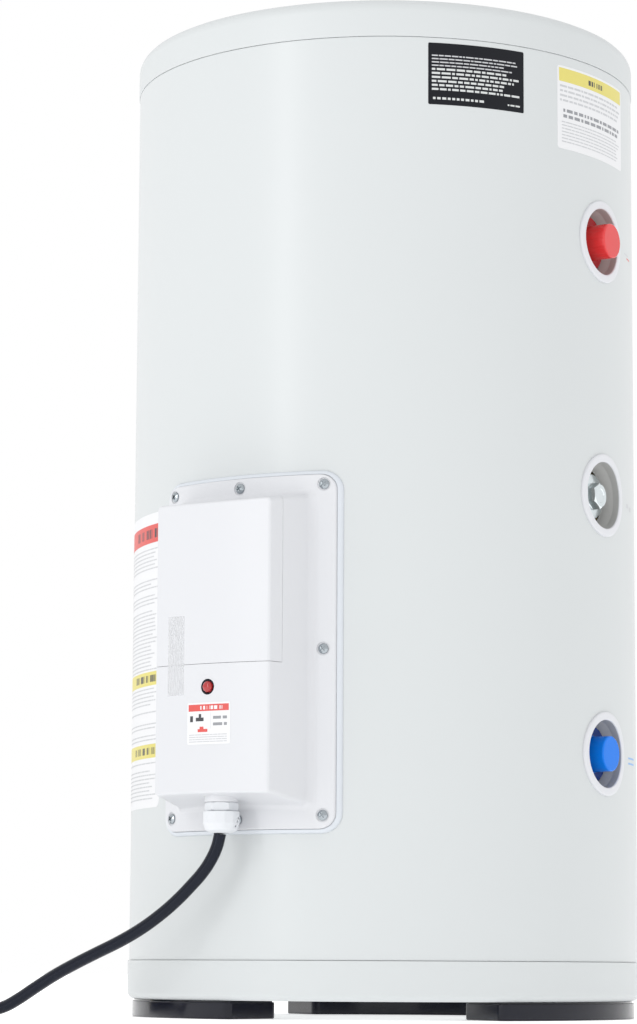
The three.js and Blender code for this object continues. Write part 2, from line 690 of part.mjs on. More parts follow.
function elementGasket() {
  const sheet = ring(ELEMENT_BORE, ELEMENT_FLANGE - 1, ELEMENT_SEAT + GAP, ELEMENT_SEAT + 3, 20);
  return cut(sheet, ...elementBolts(4.2, 190, 220));
}

function heatingElement() {
  const bend = arc(-40, 0, -ELEMENT_LEG, ELEMENT_LEG, -90, 90, 4);
  const points = [
    [0, -ELEMENT_LEG, 216],
    [0, -ELEMENT_LEG, 90],
    ...bend.map(([z, y]) => [0, y, z]),
    [0, ELEMENT_LEG, 90],
    [0, ELEMENT_LEG, 216],
  ];
  return tubeAlong(points, 4, 26, 8);
}

function elementBolt() {
  const seat = ELEMENT_SEAT + 9.3 + GAP;
  return join(hexBar(13, seat, seat + 5.3), rod(3.7, 189, seat + 1, 8));
}

piece(elementFrame, 'element_flange', elementFlange(), 'steel');
piece(elementFrame, 'element_gasket', elementGasket(), 'rubber');
piece(elementFrame, 'heating_element', heatingElement(), 'copper');
const well = cut(rod(5, 10, 210, 8), rod(3.7, 14, 220, 8));
piece(elementFrame, 'thermowell', well, 'copper').position.x = ELEMENT_LEG;
[45, 135, 225, 315].forEach((degrees, i) => {
  const angle = THREE.MathUtils.degToRad(degrees);
  const bolt = piece(elementFrame, `element_bolt_${i + 1}`, elementBolt(), 'zinc');
  bolt.position.set(ELEMENT_PITCH * Math.cos(angle), ELEMENT_PITCH * Math.sin(angle), 0);
});

const JACKET_FACE = JACKET_RADIUS + 0.5;
const BODY_FACE = 254; // the front of the thermostat's body

function thermostatBody() {
  const plate = block([-28, 345, JACKET_FACE], [28, 405, JACKET_FACE + 2]);
  const body = block([-22, DIAL_HEIGHT - 22, JACKET_FACE + 1], [22, DIAL_HEIGHT + 22, BODY_FACE]);
  const spindle = rod(3, BODY_FACE - 1, BODY_FACE + 8, 12, 0, DIAL_HEIGHT);
  return join(plate, body, spindle);
}

function thermostatDial() {
  const low = BODY_FACE + 2;
  const disc = rod(DIAL_RADIUS, low, low + 5, 24);
  const grip = block([-3, -DIAL_RADIUS + 2, low + 4], [3, DIAL_RADIUS - 2, low + 11]);
  return cut(join(disc, grip), rod(3.3, low - 1, BODY_FACE + 8.5, 12));
}

// The bulb in the thermowell, with its capillary tube up to the thermostat.
function capillaryBulb() {
  const bulb = rod(3.2, 20, 140, 8, ELEMENT_LEG, 0);
  const thermostatLow = DIAL_HEIGHT - 22 - 4 * GAP - ELEMENT_HEIGHT;
  const points = [
    [ELEMENT_LEG, 0, 138],
    [ELEMENT_LEG, 0, 190],
    [ELEMENT_LEG, 0, 214],
    [24, 12, 234],
    [36, 44, 244],
    [36, 96, 244],
    [18, thermostatLow, 242],
  ];
  return join(bulb, tubeAlong(points, 1, 22, 6));
}

function highLimitSwitch() {
  const low = BUTTON_HEIGHT - 12;
  const plate = block([-15, low, JACKET_FACE], [15, BUTTON_HEIGHT + 27, JACKET_FACE + 2.5]);
  const body = block([-12, low, JACKET_FACE + 2], [12, BUTTON_HEIGHT + 12, 245]);
  return join(plate, body, rod(8, 244, 256.5, 16, 0, BUTTON_HEIGHT));
}

// The red button: a dome outside, a stop inside the wall and a stem to the switch.
function resetButton() {
  const profile = [
    [0, BUTTON_FACE],
    [3.5, BUTTON_FACE - 0.5],
    [5.3, BUTTON_FACE - 1.9],
    [BUTTON_RADIUS, BUTTON_FACE - 3.5],
    [BUTTON_RADIUS, 272],
    [8, 272],
    [8, 270],
    [3, 270],
    [3, 259.6],
    [0, 259.6],
  ];
  return turned(profile, 14);
}

function terminalBlock() {
  const body = block([-23, BLOCK_LOW, JACKET_FACE], [23, BLOCK_HIGH, 243]);
  const slots = [-14, 0, 14].map((x) => block([x - 5, BLOCK_LOW - 1, 238], [x + 5, 330, 250]));
  return cut(body, ...slots);
}

piece(front, 'thermostat_body', thermostatBody(), 'phenolic');
piece(frameOf(0, DIAL_HEIGHT), 'thermostat_dial', thermostatDial(), 'blackPlastic');
piece(elementFrame, 'capillary_bulb', capillaryBulb(), 'copper');
piece(front, 'high_limit_switch', highLimitSwitch(), 'phenolic');
piece(frameOf(0, BUTTON_HEIGHT), 'reset_button', resetButton(), 'redButton');
piece(front, 'terminal_block', terminalBlock(), 'phenolic');

// Three wires from the gland, up the left of the box, to the terminal block.
['wireBlack', 'wireWhite', 'wireGreen'].forEach((look, i) => {
  const name = ['wire_live', 'wire_neutral', 'wire_earth'][i];
  const start = GLAND_Y + (1 - i) * 3.7;
  const depth = -236 - 6 * i;
  const points = [
    [0, start, GLAND_TOP + GAP],
    [-2, start, GLAND_TOP + 10],
    [-38, depth, 240],
    [-38, depth, 282],
    [(i - 1) * 14, -234, BLOCK_LOW - 8],
    [(i - 1) * 14, -234, BLOCK_LOW - 2 * GAP],
  ];
  piece(tank, name, tubeAlong(points, 1.6, 14, 6), look);
});

// ---------------------------------------------------------------- power cord and plug
// The cord leaves the gland, falls in a slack curve and lands left of the heater.
const CORD_ROUTE = [
  [-1.2, -253, 152.7],
  [-4.2, -253.2, 142],
  [-9.6, -253.6, 131.5],
  [-17.5, -254.2, 121],
  [-28.2, -254.9, 110.5],
  [-43.3, -255.9, 97.3],
  [-60.7, -257.1, 84.6],
  [-79.7, -258.3, 73.2],
  [-100.2, -259.7, 63.2],
  [-121.4, -261.1, 54.3],
  [-142.4, -262.5, 45.3],
  [-163.1, -263.9, 35.6],
  [-183, -265.3, 24.8],
  [-200, -266.5, 15.2],
  [-214, -267.5, 8.8],
  [-229, -268.6, 5.7],
  [-246, -269.4, 5.25],
  [-275, -269.8, 5.5],
  [-305, -269.8, 6.1],
  [-334, -269.6, 6.35],
];
piece(tank, 'power_cord', tubeAlong(CORD_ROUTE, CORD_RADIUS, 30, 8), 'cordRubber');

const coil = new THREE.Group();
coil.position.set(...COIL_CENTRE, 0);
tank.add(coil);
const COIL_OUTER = COIL_RADIUS + 2 * CORD_RADIUS;
const COIL_TOP = COIL_LIFT + 4 * CORD_RADIUS;
const coilRing = [
  [COIL_RADIUS - 2 * CORD_RADIUS, COIL_LIFT],
  [COIL_OUTER, COIL_LIFT],
  [COIL_OUTER, COIL_TOP],
  [COIL_RADIUS - 2 * CORD_RADIUS, COIL_TOP],
  [COIL_RADIUS - 2 * CORD_RADIUS, COIL_LIFT],
];
piece(coil, 'cord_coil', turned(coilRing, 24), 'cordRubber');

// The last stretch comes down beside the coil and runs into the plug, left of the coil.
const TAIL_RADIUS = COIL_OUTER + CORD_RADIUS + 2 * GAP;
const PLUG_HALF = PLUG_THICKNESS / 2;
const TAIL_ROUTE = [
  ...arc(0, 0, TAIL_RADIUS, TAIL_RADIUS, 236, 196, 4).map(([x, y], i) => [x, y, 13 - 1.9 * i]),
  [-TAIL_RADIUS - 3, -6, 7.4],
  [-TAIL_RADIUS - 5, 8, 10.2],
  [-TAIL_RADIUS - 5.5, 20, PLUG_HALF],
];
piece(coil, 'cord_tail', tubeAlong(TAIL_ROUTE, CORD_RADIUS, 9, 8), 'cordRubber');

// The plug lies on its side in a frame whose z runs along it, towards its blades.
const plug = new THREE.Group();
plug.position.set(-TAIL_RADIUS - 5.5, 20 + 4 * GAP, PLUG_HALF);
plug.rotation.x = -Math.PI / 2;
coil.add(plug);
const RELIEF_LENGTH = 22;
const PLUG_FRONT = RELIEF_LENGTH + PLUG_LENGTH;
const BLADE_SIZE = [3.2, 0.75]; // half the width and half the thickness
const BLADE_OFFSET = 6.35;
const POCKET = 6;

function plugBlade(side, grow) {
  const [halfWidth, halfThickness] = BLADE_SIZE.map((size) => size + grow);
  const middle = side * BLADE_OFFSET;
  const low = [3.5 - halfWidth, middle - halfThickness, PLUG_FRONT - POCKET - grow];
  return block(low, [3.5 + halfWidth, middle + halfThickness, PLUG_FRONT + 16]);
}

const groundPin = (grow) =>
  rod(2.4 + grow, PLUG_FRONT - POCKET - grow, PLUG_FRONT + 19, 10, -8.4, 0);

function plugBody() {
  const relief = turned(
    [[0, 0], [CORD_RADIUS + 1.2, 0], [9, RELIEF_LENGTH + 2], [0, RELIEF_LENGTH + 2]],
    12,
  );
  const half = PLUG_WIDTH / 2;
  const grip = roundedBar(half, -PLUG_HALF, PLUG_HALF, 6, RELIEF_LENGTH, PLUG_FRONT);
  return cut(join(relief, grip), plugBlade(1, GAP), plugBlade(-1, GAP), groundPin(GAP));
}

piece(plug, 'plug_body', plugBody(), 'cordRubber');
piece(plug, 'plug_blade_live', plugBlade(1, 0), 'brass');
piece(plug, 'plug_blade_neutral', plugBlade(-1, 0), 'brass');
piece(plug, 'plug_ground_pin', groundPin(0), 'brass');

export default heater;
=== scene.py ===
# Looks of a floor-standing electric tank water heater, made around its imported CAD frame.
# Metres, in the frame's own axes: +Z up, the control box towards -Y, the pipe ports towards +X.
import math
import random

import bmesh
import bpy
from mathutils import Matrix, Vector


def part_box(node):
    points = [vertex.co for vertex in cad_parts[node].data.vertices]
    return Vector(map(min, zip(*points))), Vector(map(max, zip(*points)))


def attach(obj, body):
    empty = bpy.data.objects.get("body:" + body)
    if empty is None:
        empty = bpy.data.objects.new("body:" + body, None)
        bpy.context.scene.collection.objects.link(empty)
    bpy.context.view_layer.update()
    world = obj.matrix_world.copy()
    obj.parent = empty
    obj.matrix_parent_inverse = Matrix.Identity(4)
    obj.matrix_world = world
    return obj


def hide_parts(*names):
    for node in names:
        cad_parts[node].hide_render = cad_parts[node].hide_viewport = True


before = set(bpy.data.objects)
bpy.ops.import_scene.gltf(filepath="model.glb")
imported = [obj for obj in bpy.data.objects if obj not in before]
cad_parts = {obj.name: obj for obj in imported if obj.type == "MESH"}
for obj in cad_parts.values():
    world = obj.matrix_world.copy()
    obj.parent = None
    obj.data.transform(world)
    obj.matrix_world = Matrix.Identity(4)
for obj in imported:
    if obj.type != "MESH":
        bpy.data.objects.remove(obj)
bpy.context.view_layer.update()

# ------------------------------------------------------------------ measures from the frame
MM = 0.001
FINE = 256  # steps round a large turned piece
SMALL = 96  # steps round a small turned piece

jacket_low, jacket_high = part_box("jacket")
AXIS_X = (jacket_low.x + jacket_high.x) / 2
AXIS_Y = (jacket_low.y + jacket_high.y) / 2
RADIUS = (jacket_high.x - jacket_low.x) / 2
LOW_SEAM = jacket_low.z
HIGH_SEAM = jacket_high.z
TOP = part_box("top_cover")[1].z
COVER_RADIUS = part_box("top_cover")[1].x - AXIS_X
PAN_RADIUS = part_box("base_pan")[1].x - AXIS_X
PAN_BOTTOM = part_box("base_pan")[0].z
PORTS = {port: sum(c.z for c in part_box(f"port_trim_{port}")) / 2 for port in ("cold", "anode", "hot")}
PORT_AZIMUTH = 90
TRIM_RADIUS = (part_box("port_trim_hot")[1].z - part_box("port_trim_hot")[0].z) / 2


def add_object(name, data):
    """A new object in the scene."""
    made = bpy.data.objects.new(name, data)
    bpy.context.scene.collection.objects.link(made)
    return made


def middle(node_name):
    """The middle of a CAD node's box."""
    low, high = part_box(node_name)
    return (low + high) / 2


def facing(azimuth, height=0.0):
    """The frame of something on the tank that faces outward at an azimuth, measured from -Y towards +X.
    Its x runs sideways, its y runs up and its z is the distance from the tank's axis."""
    a = math.radians(azimuth)
    sideways = Vector((math.cos(a), math.sin(a), 0))
    outward = Vector((math.sin(a), -math.cos(a), 0))
    turned = Matrix((sideways, Vector((0, 0, 1)), outward)).transposed().to_4x4()
    return Matrix.Translation((AXIS_X, AXIS_Y, height)) @ turned


# ------------------------------------------------------------------ camera
VIEW_AZIMUTH = 32  # degrees round the tank, from -Y towards +X
VIEW_DISTANCE = 2.927  # metres from the tank's axis
VIEW_HEIGHT = 0.043
VIEW_PITCH = 7.945  # degrees upward
VIEW_YAW = 1.161
VIEW_ROLL = 0.292
VIEW_LENS = 114.81  # millimetres


def make_camera():
    """A low camera that looks slightly upward at the front and at the ports on the right."""
    data = bpy.data.cameras.new("camera")
    data.sensor_width = 36
    data.lens = VIEW_LENS
    camera = add_object("camera", data)
    stand = facing(VIEW_AZIMUTH, VIEW_HEIGHT) @ Vector((0, 0, VIEW_DISTANCE))
    turn = Matrix.Rotation(math.radians(VIEW_AZIMUTH + VIEW_YAW), 4, "Z")
    tilt = Matrix.Rotation(math.radians(90 + VIEW_PITCH), 4, "X")
    roll = Matrix.Rotation(math.radians(VIEW_ROLL), 4, "Z")
    camera.matrix_world = Matrix.Translation(stand) @ turn @ tilt @ roll
    bpy.context.scene.camera = camera


make_camera()


# ------------------------------------------------------------------ materials
def node(tree, kind, **values):
    """A shader node with its inputs or properties set by name."""
    made = tree.nodes.new(kind)
    for name, value in values.items():
        if name in made.inputs:
            made.inputs[name].default_value = value
        else:
            setattr(made, name, value)
    return made


def ramp_between(tree, factor, low, high):
    """A factor from 0 to 1 brought between two values."""
    mapped = node(tree, "ShaderNodeMapRange", **{"To Min": low, "To Max": high})
    tree.links.new(factor, mapped.inputs["Value"])
    return mapped.outputs["Result"]


def noise(tree, place, scale, detail, stretch=None):
    """Noise over the object's own coordinates, stretched where stretch is given."""
    if stretch:
        mapping = node(tree, "ShaderNodeMapping")
        mapping.inputs["Scale"].default_value = stretch
        tree.links.new(place, mapping.inputs["Vector"])
        place = mapping.outputs["Vector"]
    made = node(tree, "ShaderNodeTexNoise", Scale=scale, Detail=detail)
    tree.links.new(place, made.inputs["Vector"])
    return made.outputs["Fac"]


def mixed(tree, factor, first, second):
    """A colour between two, by a factor."""
    mix = node(tree, "ShaderNodeMix", data_type="RGBA")
    mix.inputs[6].default_value = (*first, 1)
    mix.inputs[7].default_value = (*second, 1)
    tree.links.new(factor, mix.inputs[0])
    return mix.outputs[2]


def surface(name, colour, shade, roughness, grain, depth, spread, **more):
    """A material whose colour drifts between two tones, whose roughness varies between two values,
    and whose surface has a fine grain. `shade` is how much darker its darker tone is, `grain` and
    `spread` are how fine the grain and the drift are, `depth` is the grain's height in tenths of a
    millimetre, and `more` holds the shader's other inputs, with _ for a space."""
    made = bpy.data.materials.new(name)
    made.use_nodes = True
    tree = made.node_tree
    shader = tree.nodes["Principled BSDF"]
    for socket, value in more.items():
        shader.inputs[socket.replace("_", " ")].default_value = value
    place = node(tree, "ShaderNodeTexCoord").outputs["Object"]
    tone = noise(tree, place, spread, 4.0)
    darker = tuple(c * shade for c in colour)
    tree.links.new(mixed(tree, tone, darker, colour), shader.inputs["Base Color"])
    wear = noise(tree, place, spread * 6, 5.0)
    tree.links.new(ramp_between(tree, wear, *roughness), shader.inputs["Roughness"])
    fine = noise(tree, place, grain, 2.0)
    bump = node(tree, "ShaderNodeBump", Strength=0.6, Distance=depth * 0.1 * MM)
    tree.links.new(fine, bump.inputs["Height"])
    tree.links.new(bump.outputs["Normal"], shader.inputs["Normal"])
    made.diffuse_color = (*colour, 1)
    return made


LOOKS = {
    "enamel": surface("white_enamel", (0.595, 0.62, 0.627), 0.985, (0.3, 0.38), 500, 0.1, 3,
                      Specular_IOR_Level=0.35, Coat_Weight=0.12, Coat_Roughness=0.2),
    "shell": surface("white_shell_plastic", (0.595, 0.62, 0.627), 0.985, (0.36, 0.46), 1400, 0.08, 5,
                     Specular_IOR_Level=0.35),
    "box": surface("white_box_plastic", (0.645, 0.655, 0.68), 0.985, (0.3, 0.4), 1800, 0.1, 9,
                   Specular_IOR_Level=0.4),
    "gasket": surface("clear_white_rubber", (0.62, 0.655, 0.7), 0.97, (0.4, 0.5), 1200, 0.1, 9),
    "trim": surface("trim_plastic", (0.66, 0.67, 0.7), 0.98, (0.3, 0.4), 1500, 0.1, 20),
    # The recess look is the trim plastic made darker: painted shade for the walls inside the port rings.
    "recess": surface("recess_painted_shade", (0.42, 0.42, 0.41), 0.95, (0.35, 0.45), 1500, 0.1, 20),
    "black": surface("black_plastic", (0.003, 0.004, 0.012), 0.8, (0.12, 0.2), 900, 0.03, 20,
                     Specular_IOR_Level=0.35),
    "red": surface("red_plastic", (0.72, 0.032, 0.034), 0.85, (0.16, 0.26), 900, 0.05, 40,
                   Specular_IOR_Level=0.45, Coat_Weight=0.3, Coat_Roughness=0.1),
    "blue": surface("blue_plastic", (0.0, 0.19, 0.8), 0.85, (0.2, 0.3), 900, 0.05, 40,
                    Specular_IOR_Level=0.25),
    # Darker copies of the red and blue plastic: painted shade for the cap flanges down in the port recesses.
    "red_painted_shade": surface("red_plastic_painted_shade", (0.45, 0.012, 0.018), 0.85, (0.2, 0.3), 900, 0.05, 40),
    "blue_painted_shade": surface("blue_plastic_painted_shade", (0.0, 0.03, 0.2), 0.85, (0.2, 0.3), 900, 0.05, 40),
    "button": surface("red_button", (0.42, 0.012, 0.014), 0.8, (0.12, 0.22), 1500, 0.05, 60,
                      Coat_Weight=0.6, Coat_Roughness=0.08),
    "nylon": surface("white_nylon", (0.68, 0.7, 0.73), 0.97, (0.36, 0.48), 1500, 0.12, 25),
    "zinc": surface("zinc_plate", (0.42, 0.46, 0.49), 0.8, (0.12, 0.24), 1600, 0.05, 90, Metallic=1.0),
    "bright_zinc": surface("bright_zinc_plate", (0.74, 0.8, 0.82), 0.9, (0.12, 0.22), 1200, 0.03, 90,
                           Metallic=1.0),
    "steel": surface("steel", (0.46, 0.46, 0.47), 0.8, (0.35, 0.55), 900, 0.3, 60, Metallic=1.0),
    "tank": surface("tank_enamel", (0.05, 0.07, 0.11), 0.8, (0.3, 0.5), 500, 0.4, 12),
    "brass": surface("brass", (0.72, 0.53, 0.24), 0.85, (0.22, 0.4), 1200, 0.15, 80, Metallic=1.0),
    "magnesium": surface("magnesium", (0.45, 0.45, 0.46), 0.8, (0.5, 0.7), 500, 0.6, 40, Metallic=1.0),
    "copper": surface("copper", (0.7, 0.35, 0.2), 0.8, (0.25, 0.45), 900, 0.2, 50, Metallic=1.0),
    "foam": surface("foam", (0.72, 0.56, 0.25), 0.8, (0.8, 0.95), 260, 4.0, 30),
    "rubber": surface("black_rubber", (0.03, 0.03, 0.032), 0.8, (0.5, 0.7), 900, 0.5, 30),
    "cord": surface("cord_rubber", (0.002, 0.003, 0.009), 0.8, (0.2, 0.28), 1500, 0.05, 30,
                    Specular_IOR_Level=0.3, Specular_Tint=(0.8, 0.86, 1, 1)),
    "phenolic": surface("phenolic", (0.035, 0.028, 0.024), 0.75, (0.4, 0.6), 700, 0.5, 40),
    "wire_black": surface("wire_black", (0.02, 0.02, 0.022), 0.8, (0.35, 0.5), 1500, 0.2, 40),
    "wire_white": surface("wire_white", (0.75, 0.75, 0.72), 0.95, (0.35, 0.5), 1500, 0.2, 40),
    "wire_green": surface("wire_green", (0.04, 0.3, 0.06), 0.8, (0.35, 0.5), 1500, 0.2, 40),
    "paper": surface("label_paper", (0.74, 0.745, 0.76), 0.985, (0.35, 0.45), 1600, 0.1, 20),
    "plate": surface("label_black", (0.004, 0.005, 0.009), 0.85, (0.3, 0.42), 1300, 0.1, 20,
                     Specular_IOR_Level=0.25),
}
INKS = {  # colour, shade and roughness
    "ink_grey": ((0.3, 0.31, 0.33), 0.8, (0.4, 0.5)),
    "ink_light": ((0.55, 0.56, 0.58), 0.9, (0.4, 0.5)),
    "ink_dark": ((0.05, 0.052, 0.06), 0.8, (0.4, 0.5)),
    "ink_white": ((0.62, 0.64, 0.64), 0.9, (0.4, 0.5)),
    "ink_red": ((0.68, 0.09, 0.08), 0.9, (0.35, 0.45)),
    "ink_yellow": ((0.7, 0.62, 0.16), 0.92, (0.35, 0.45)),
    "ink_blue": ((0.25, 0.45, 0.75), 0.9, (0.4, 0.5)),
}
for ink, (ink_colour, ink_shade, ink_roughness) in INKS.items():
    LOOKS[ink] = surface(ink, ink_colour, ink_shade, ink_roughness, 1300, 0.1, 60)


def clear_tape():
    """Clear tape, seen as a faint white film with fine lines along it."""
    made = surface("clear_tape", (0.8, 0.81, 0.83), 0.99, (0.12, 0.25), 900, 0.1, 30)
    tree = made.node_tree
    shader = tree.nodes["Principled BSDF"]
    place = node(tree, "ShaderNodeTexCoord").outputs["Object"]
    lines = noise(tree, place, 700, 2.0, (1, 0.02, 0.02))
    tree.links.new(ramp_between(tree, lines, 0.1, 0.65), shader.inputs["Alpha"])
    return made


LOOKS["tape"] = clear_tape()

CAD_LOOKS = {  # the CAD nodes that stay in the picture, by their material
    "zinc": ["foot_bolt_front", "foot_bolt_right", "foot_bolt_rear"]
    + [f"element_bolt_{i}" for i in (1, 2, 3, 4)],
    "tank": ["inner_tank"],
    "foam": ["insulation_foam"],
    "magnesium": ["anode_rod"],
    "rubber": ["anode_gasket", "element_gasket"],
    "copper": ["hot_outlet_pipe", "cold_inlet_pipe", "heating_element", "thermowell", "capillary_bulb"],
    "steel": ["element_flange"],
    "phenolic": ["thermostat_body", "high_limit_switch", "terminal_block"],
    "black": ["thermostat_dial"],
    "wire_black": ["wire_live"],
    "wire_white": ["wire_neutral"],
    "wire_green": ["wire_earth"],
}


def dress_cad_nodes():
    """Gives every CAD node that stays in the picture its material."""
    for look, names in CAD_LOOKS.items():
        for name in names:
            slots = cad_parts[name].data.materials
            slots.clear()
            slots.append(LOOKS[look])


dress_cad_nodes()


# ------------------------------------------------------------------ mesh helpers
def new_object(name, points, faces, looks, face_looks=None):
    """A mesh object from points and faces. `looks` is one look or a list of them, and `face_looks`
    says which of the list each face has."""
    mesh = bpy.data.meshes.new(name)
    mesh.from_pydata([tuple(p) for p in points], [], faces)
    for look in [looks] if isinstance(looks, str) else looks:
        mesh.materials.append(LOOKS[look])
    if face_looks:
        mesh.polygons.foreach_set("material_index", face_looks)
    return add_object(name, mesh)


def face_out(made):
    """Turns the faces of a closed mesh outward."""
    work = bmesh.new()
    work.from_mesh(made.data)
    bmesh.ops.remove_doubles(work, verts=work.verts, dist=1e-7)
    bmesh.ops.recalc_face_normals(work, faces=work.faces)
    work.to_mesh(made.data)
    work.free()
    return made


def smooth(made, angle=32, weighted=True):
    """Smooth shading that breaks at edges sharper than the angle."""
    made.data.shade_smooth()
    made.data.set_sharp_from_angle(angle=math.radians(angle))
    if weighted:
        modifier = made.modifiers.new("flat_faces_stay_flat", "WEIGHTED_NORMAL")
        modifier.keep_sharp = True
    return made


def finish_piece(made, nodes, body="heater"):
    """Hangs a piece on its body and hides the CAD nodes that it stands in for."""
    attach(made, body)
    if nodes:
        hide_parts(*([nodes] if isinstance(nodes, str) else nodes))
    return made


def fillet(corners, steps=5):
    """A profile of (radius, height, rounding) corners with each corner rounded off by an arc."""
    profile = []
    for i, (x, y, size) in enumerate(corners):
        here = Vector((x, y))
        if size <= 0 or i in (0, len(corners) - 1):
            profile.append(here)
            continue
        before = Vector(corners[i - 1][:2]) - here
        after = Vector(corners[i + 1][:2]) - here
        half = before.angle(after) / 2
        reach = size / math.tan(half)
        start = here + before.normalized() * reach
        end = here + after.normalized() * reach
        centre = here + (before.normalized() + after.normalized()).normalized() * (size / math.sin(half))
        first = math.atan2(*(start - centre).yx)
        turn = math.atan2(*(end - centre).yx) - first
        turn = (turn + math.pi) % (2 * math.pi) - math.pi
        for k in range(steps + 1):
            angle = first + turn * k / steps
            profile.append(centre + size * Vector((math.cos(angle), math.sin(angle))))
    return profile


def round_angles(steps):
    """The angles of evenly spaced points round a circle."""
    return [2 * math.pi * k / steps for k in range(steps)]


def to_flat(angle, sides):
    """How much further a regular polygon's edge is at an angle than at the middle of its flats."""
    half = math.pi / sides
    return 1 / math.cos((angle + half) % (2 * half) - half)


def grid_faces(rows, columns, close_rows=False):
    """Quads over rings of points stored ring by ring."""
    faces = []
    for r in range(rows if close_rows else rows - 1):
        row, next_row = r * columns, (r + 1) % rows * columns
        for c in range(columns):
            right = (c + 1) % columns
            faces.append((row + c, row + right, next_row + right, next_row + c))
    return faces


def capped(name, rings, look):
    """A skin over rings of points, closed by one flat face at each end."""
    count = len(rings[0])
    last = (len(rings) - 1) * count
    faces = grid_faces(len(rings), count)
    faces += [tuple(range(count)), tuple(range(last, last + count))]
    return face_out(new_object(name, [p for ring in rings for p in ring], faces, look))


def turned(name, corners, look, steps=SMALL, place=None, closed=False, radius_at=None):
    """A profile of (radius, height, rounding) corners turned about its z axis. A profile that isn't
    closed starts and ends on the axis. `radius_at` changes the radius by the angle and the height."""
    profile = fillet(corners)
    points = []
    for spot in profile:
        for angle in round_angles(steps):
            radius = radius_at(angle, *spot) if radius_at else spot.x
            points.append(Vector((radius * math.cos(angle), radius * math.sin(angle), spot.y)))
    made = new_object(name, points, grid_faces(len(profile), steps, closed), look)
    made.data.transform(place or Matrix.Translation((AXIS_X, AXIS_Y, 0)))
    return smooth(face_out(made))


def outline(half, low, high, corner, steps=40, corner_steps=6):
    """A rounded rectangle in x and height: its lower edge from left to right, then its upper edge
    back. Each point of the lower edge has the same x as one of the upper edge."""
    lower = []
    for k in range(corner_steps + 1):
        angle = math.pi * (1 + k / corner_steps / 2)
        lower.append((-half + corner + corner * math.cos(angle), low + corner + corner * math.sin(angle)))
    reach = half - corner
    lower += [(-reach + 2 * reach * k / steps, low) for k in range(1, steps)]
    for k in range(corner_steps + 1):
        angle = math.pi * (1.5 + k / corner_steps / 2)
        lower.append((half - corner + corner * math.cos(angle), low + corner + corner * math.sin(angle)))
    upper = [(x, high + low - z) for x, z in reversed(lower)]
    return lower + upper


def lofted(name, rings, look, place=None, hollow=False):
    """A skin over rings of points with matching order. Unless it is hollow, both ends are closed by
    upright strips between the lower and the upper edge of the ring."""
    count = len(rings[0])
    faces = grid_faces(len(rings), count, close_rows=hollow)
    if not hollow:
        for ring in (0, len(rings) - 1):
            first = ring * count
            for i in range(count // 2 - 1):
                faces.append((first + i, first + i + 1, first + count - 2 - i, first + count - 1 - i))
    made = new_object(name, [p for ring in rings for p in ring], faces, look)
    made.data.transform(place or facing(0))
    return smooth(face_out(made))


def on_drum(shape, radius):
    """An outline laid on a drum about the tank's axis."""
    return [Vector((x, z, math.sqrt(radius * radius - x * x))) for x, z in shape]


def carve(made, tool, operation="DIFFERENCE"):
    """Cuts a piece with another, or joins them."""
    made.modifiers.clear()
    tool.modifiers.clear()
    modifier = made.modifiers.new("carve", "BOOLEAN")
    modifier.operation = operation
    modifier.solver = "EXACT"
    modifier.object = tool
    graph = bpy.context.evaluated_depsgraph_get()
    mesh = bpy.data.meshes.new_from_object(made.evaluated_get(graph))
    made.modifiers.clear()
    made.data = mesh
    bpy.data.objects.remove(tool)
    return made


def pin(name, radius, low, high, place=None, steps=48):
    """A plain round tool along z, for cutting."""
    corners = [(0, low, 0), (radius, low, 0), (radius, high, 0), (0, high, 0)]
    return turned(name, corners, "steel", steps, place)


# ------------------------------------------------------------------ power cord
CORD_RADIUS = 5.15 * MM
CORD_TURN = 10.3 * MM  # from one turn of the coil to the next
COIL_CENTRE = Vector((AXIS_X - 371 * MM, AXIS_Y - 207 * MM, 0))
COIL_INNER = 52.35 * MM  # to the middle of the cord, inner turns
COIL_OUTER = 62.65 * MM
COIL_LOW = 6.35 * MM
COIL_SETTLE = 5.2 * MM  # how far the end of the coil comes down before the plug
COIL_TURNS = 1160  # degrees
COIL_STEP = 20
TAIL_RADIUS = 73.55 * MM
CORD_ROUTE = [  # from the gland down to the floor and along it to the coil, from the tank's axis
    (-0.0012, -0.253, 0.1527), (-0.0042, -0.2532, 0.142), (-0.0096, -0.2536, 0.1315),
    (-0.0175, -0.2542, 0.121), (-0.0282, -0.2549, 0.1105), (-0.0433, -0.2559, 0.0973),
    (-0.0607, -0.2571, 0.0846), (-0.0797, -0.2583, 0.0732), (-0.1002, -0.2597, 0.0632),
    (-0.1214, -0.2611, 0.0543), (-0.1424, -0.2625, 0.0453), (-0.1631, -0.2639, 0.0356),
    (-0.183, -0.2653, 0.0248), (-0.2, -0.2665, 0.0152), (-0.214, -0.2675, 0.0088),
    (-0.229, -0.2686, 0.0057), (-0.246, -0.2694, 0.00525), (-0.275, -0.2698, 0.0055),
    (-0.305, -0.2698, 0.0061), (-0.334, -0.2696, 0.00635),
]


def ease(value, start, end):
    """0 before start and 1 after end, with a soft change between."""
    t = min(max((value - start) / (end - start), 0), 1)
    return t * t * (3 - 2 * t)


def coil_points():
    """Three turns, clockwise from above: one outer, one inner, then one on top, and out again."""
    points = []
    for k in range(1, COIL_TURNS // COIL_STEP + 1):
        turn = k * COIL_STEP
        radius = COIL_OUTER - CORD_TURN * ease(turn, 270, 360) + CORD_TURN * ease(turn, 870, 930)
        radius += (TAIL_RADIUS - COIL_OUTER) * ease(turn, 1060, COIL_TURNS)
        height = COIL_LOW + CORD_TURN * ease(turn, 570, 630) - COIL_SETTLE * ease(turn, 1090, COIL_TURNS)
        angle = math.radians(-90 - turn)
        points.append(COIL_CENTRE + Vector((radius * math.cos(angle), radius * math.sin(angle), height)))
    return points


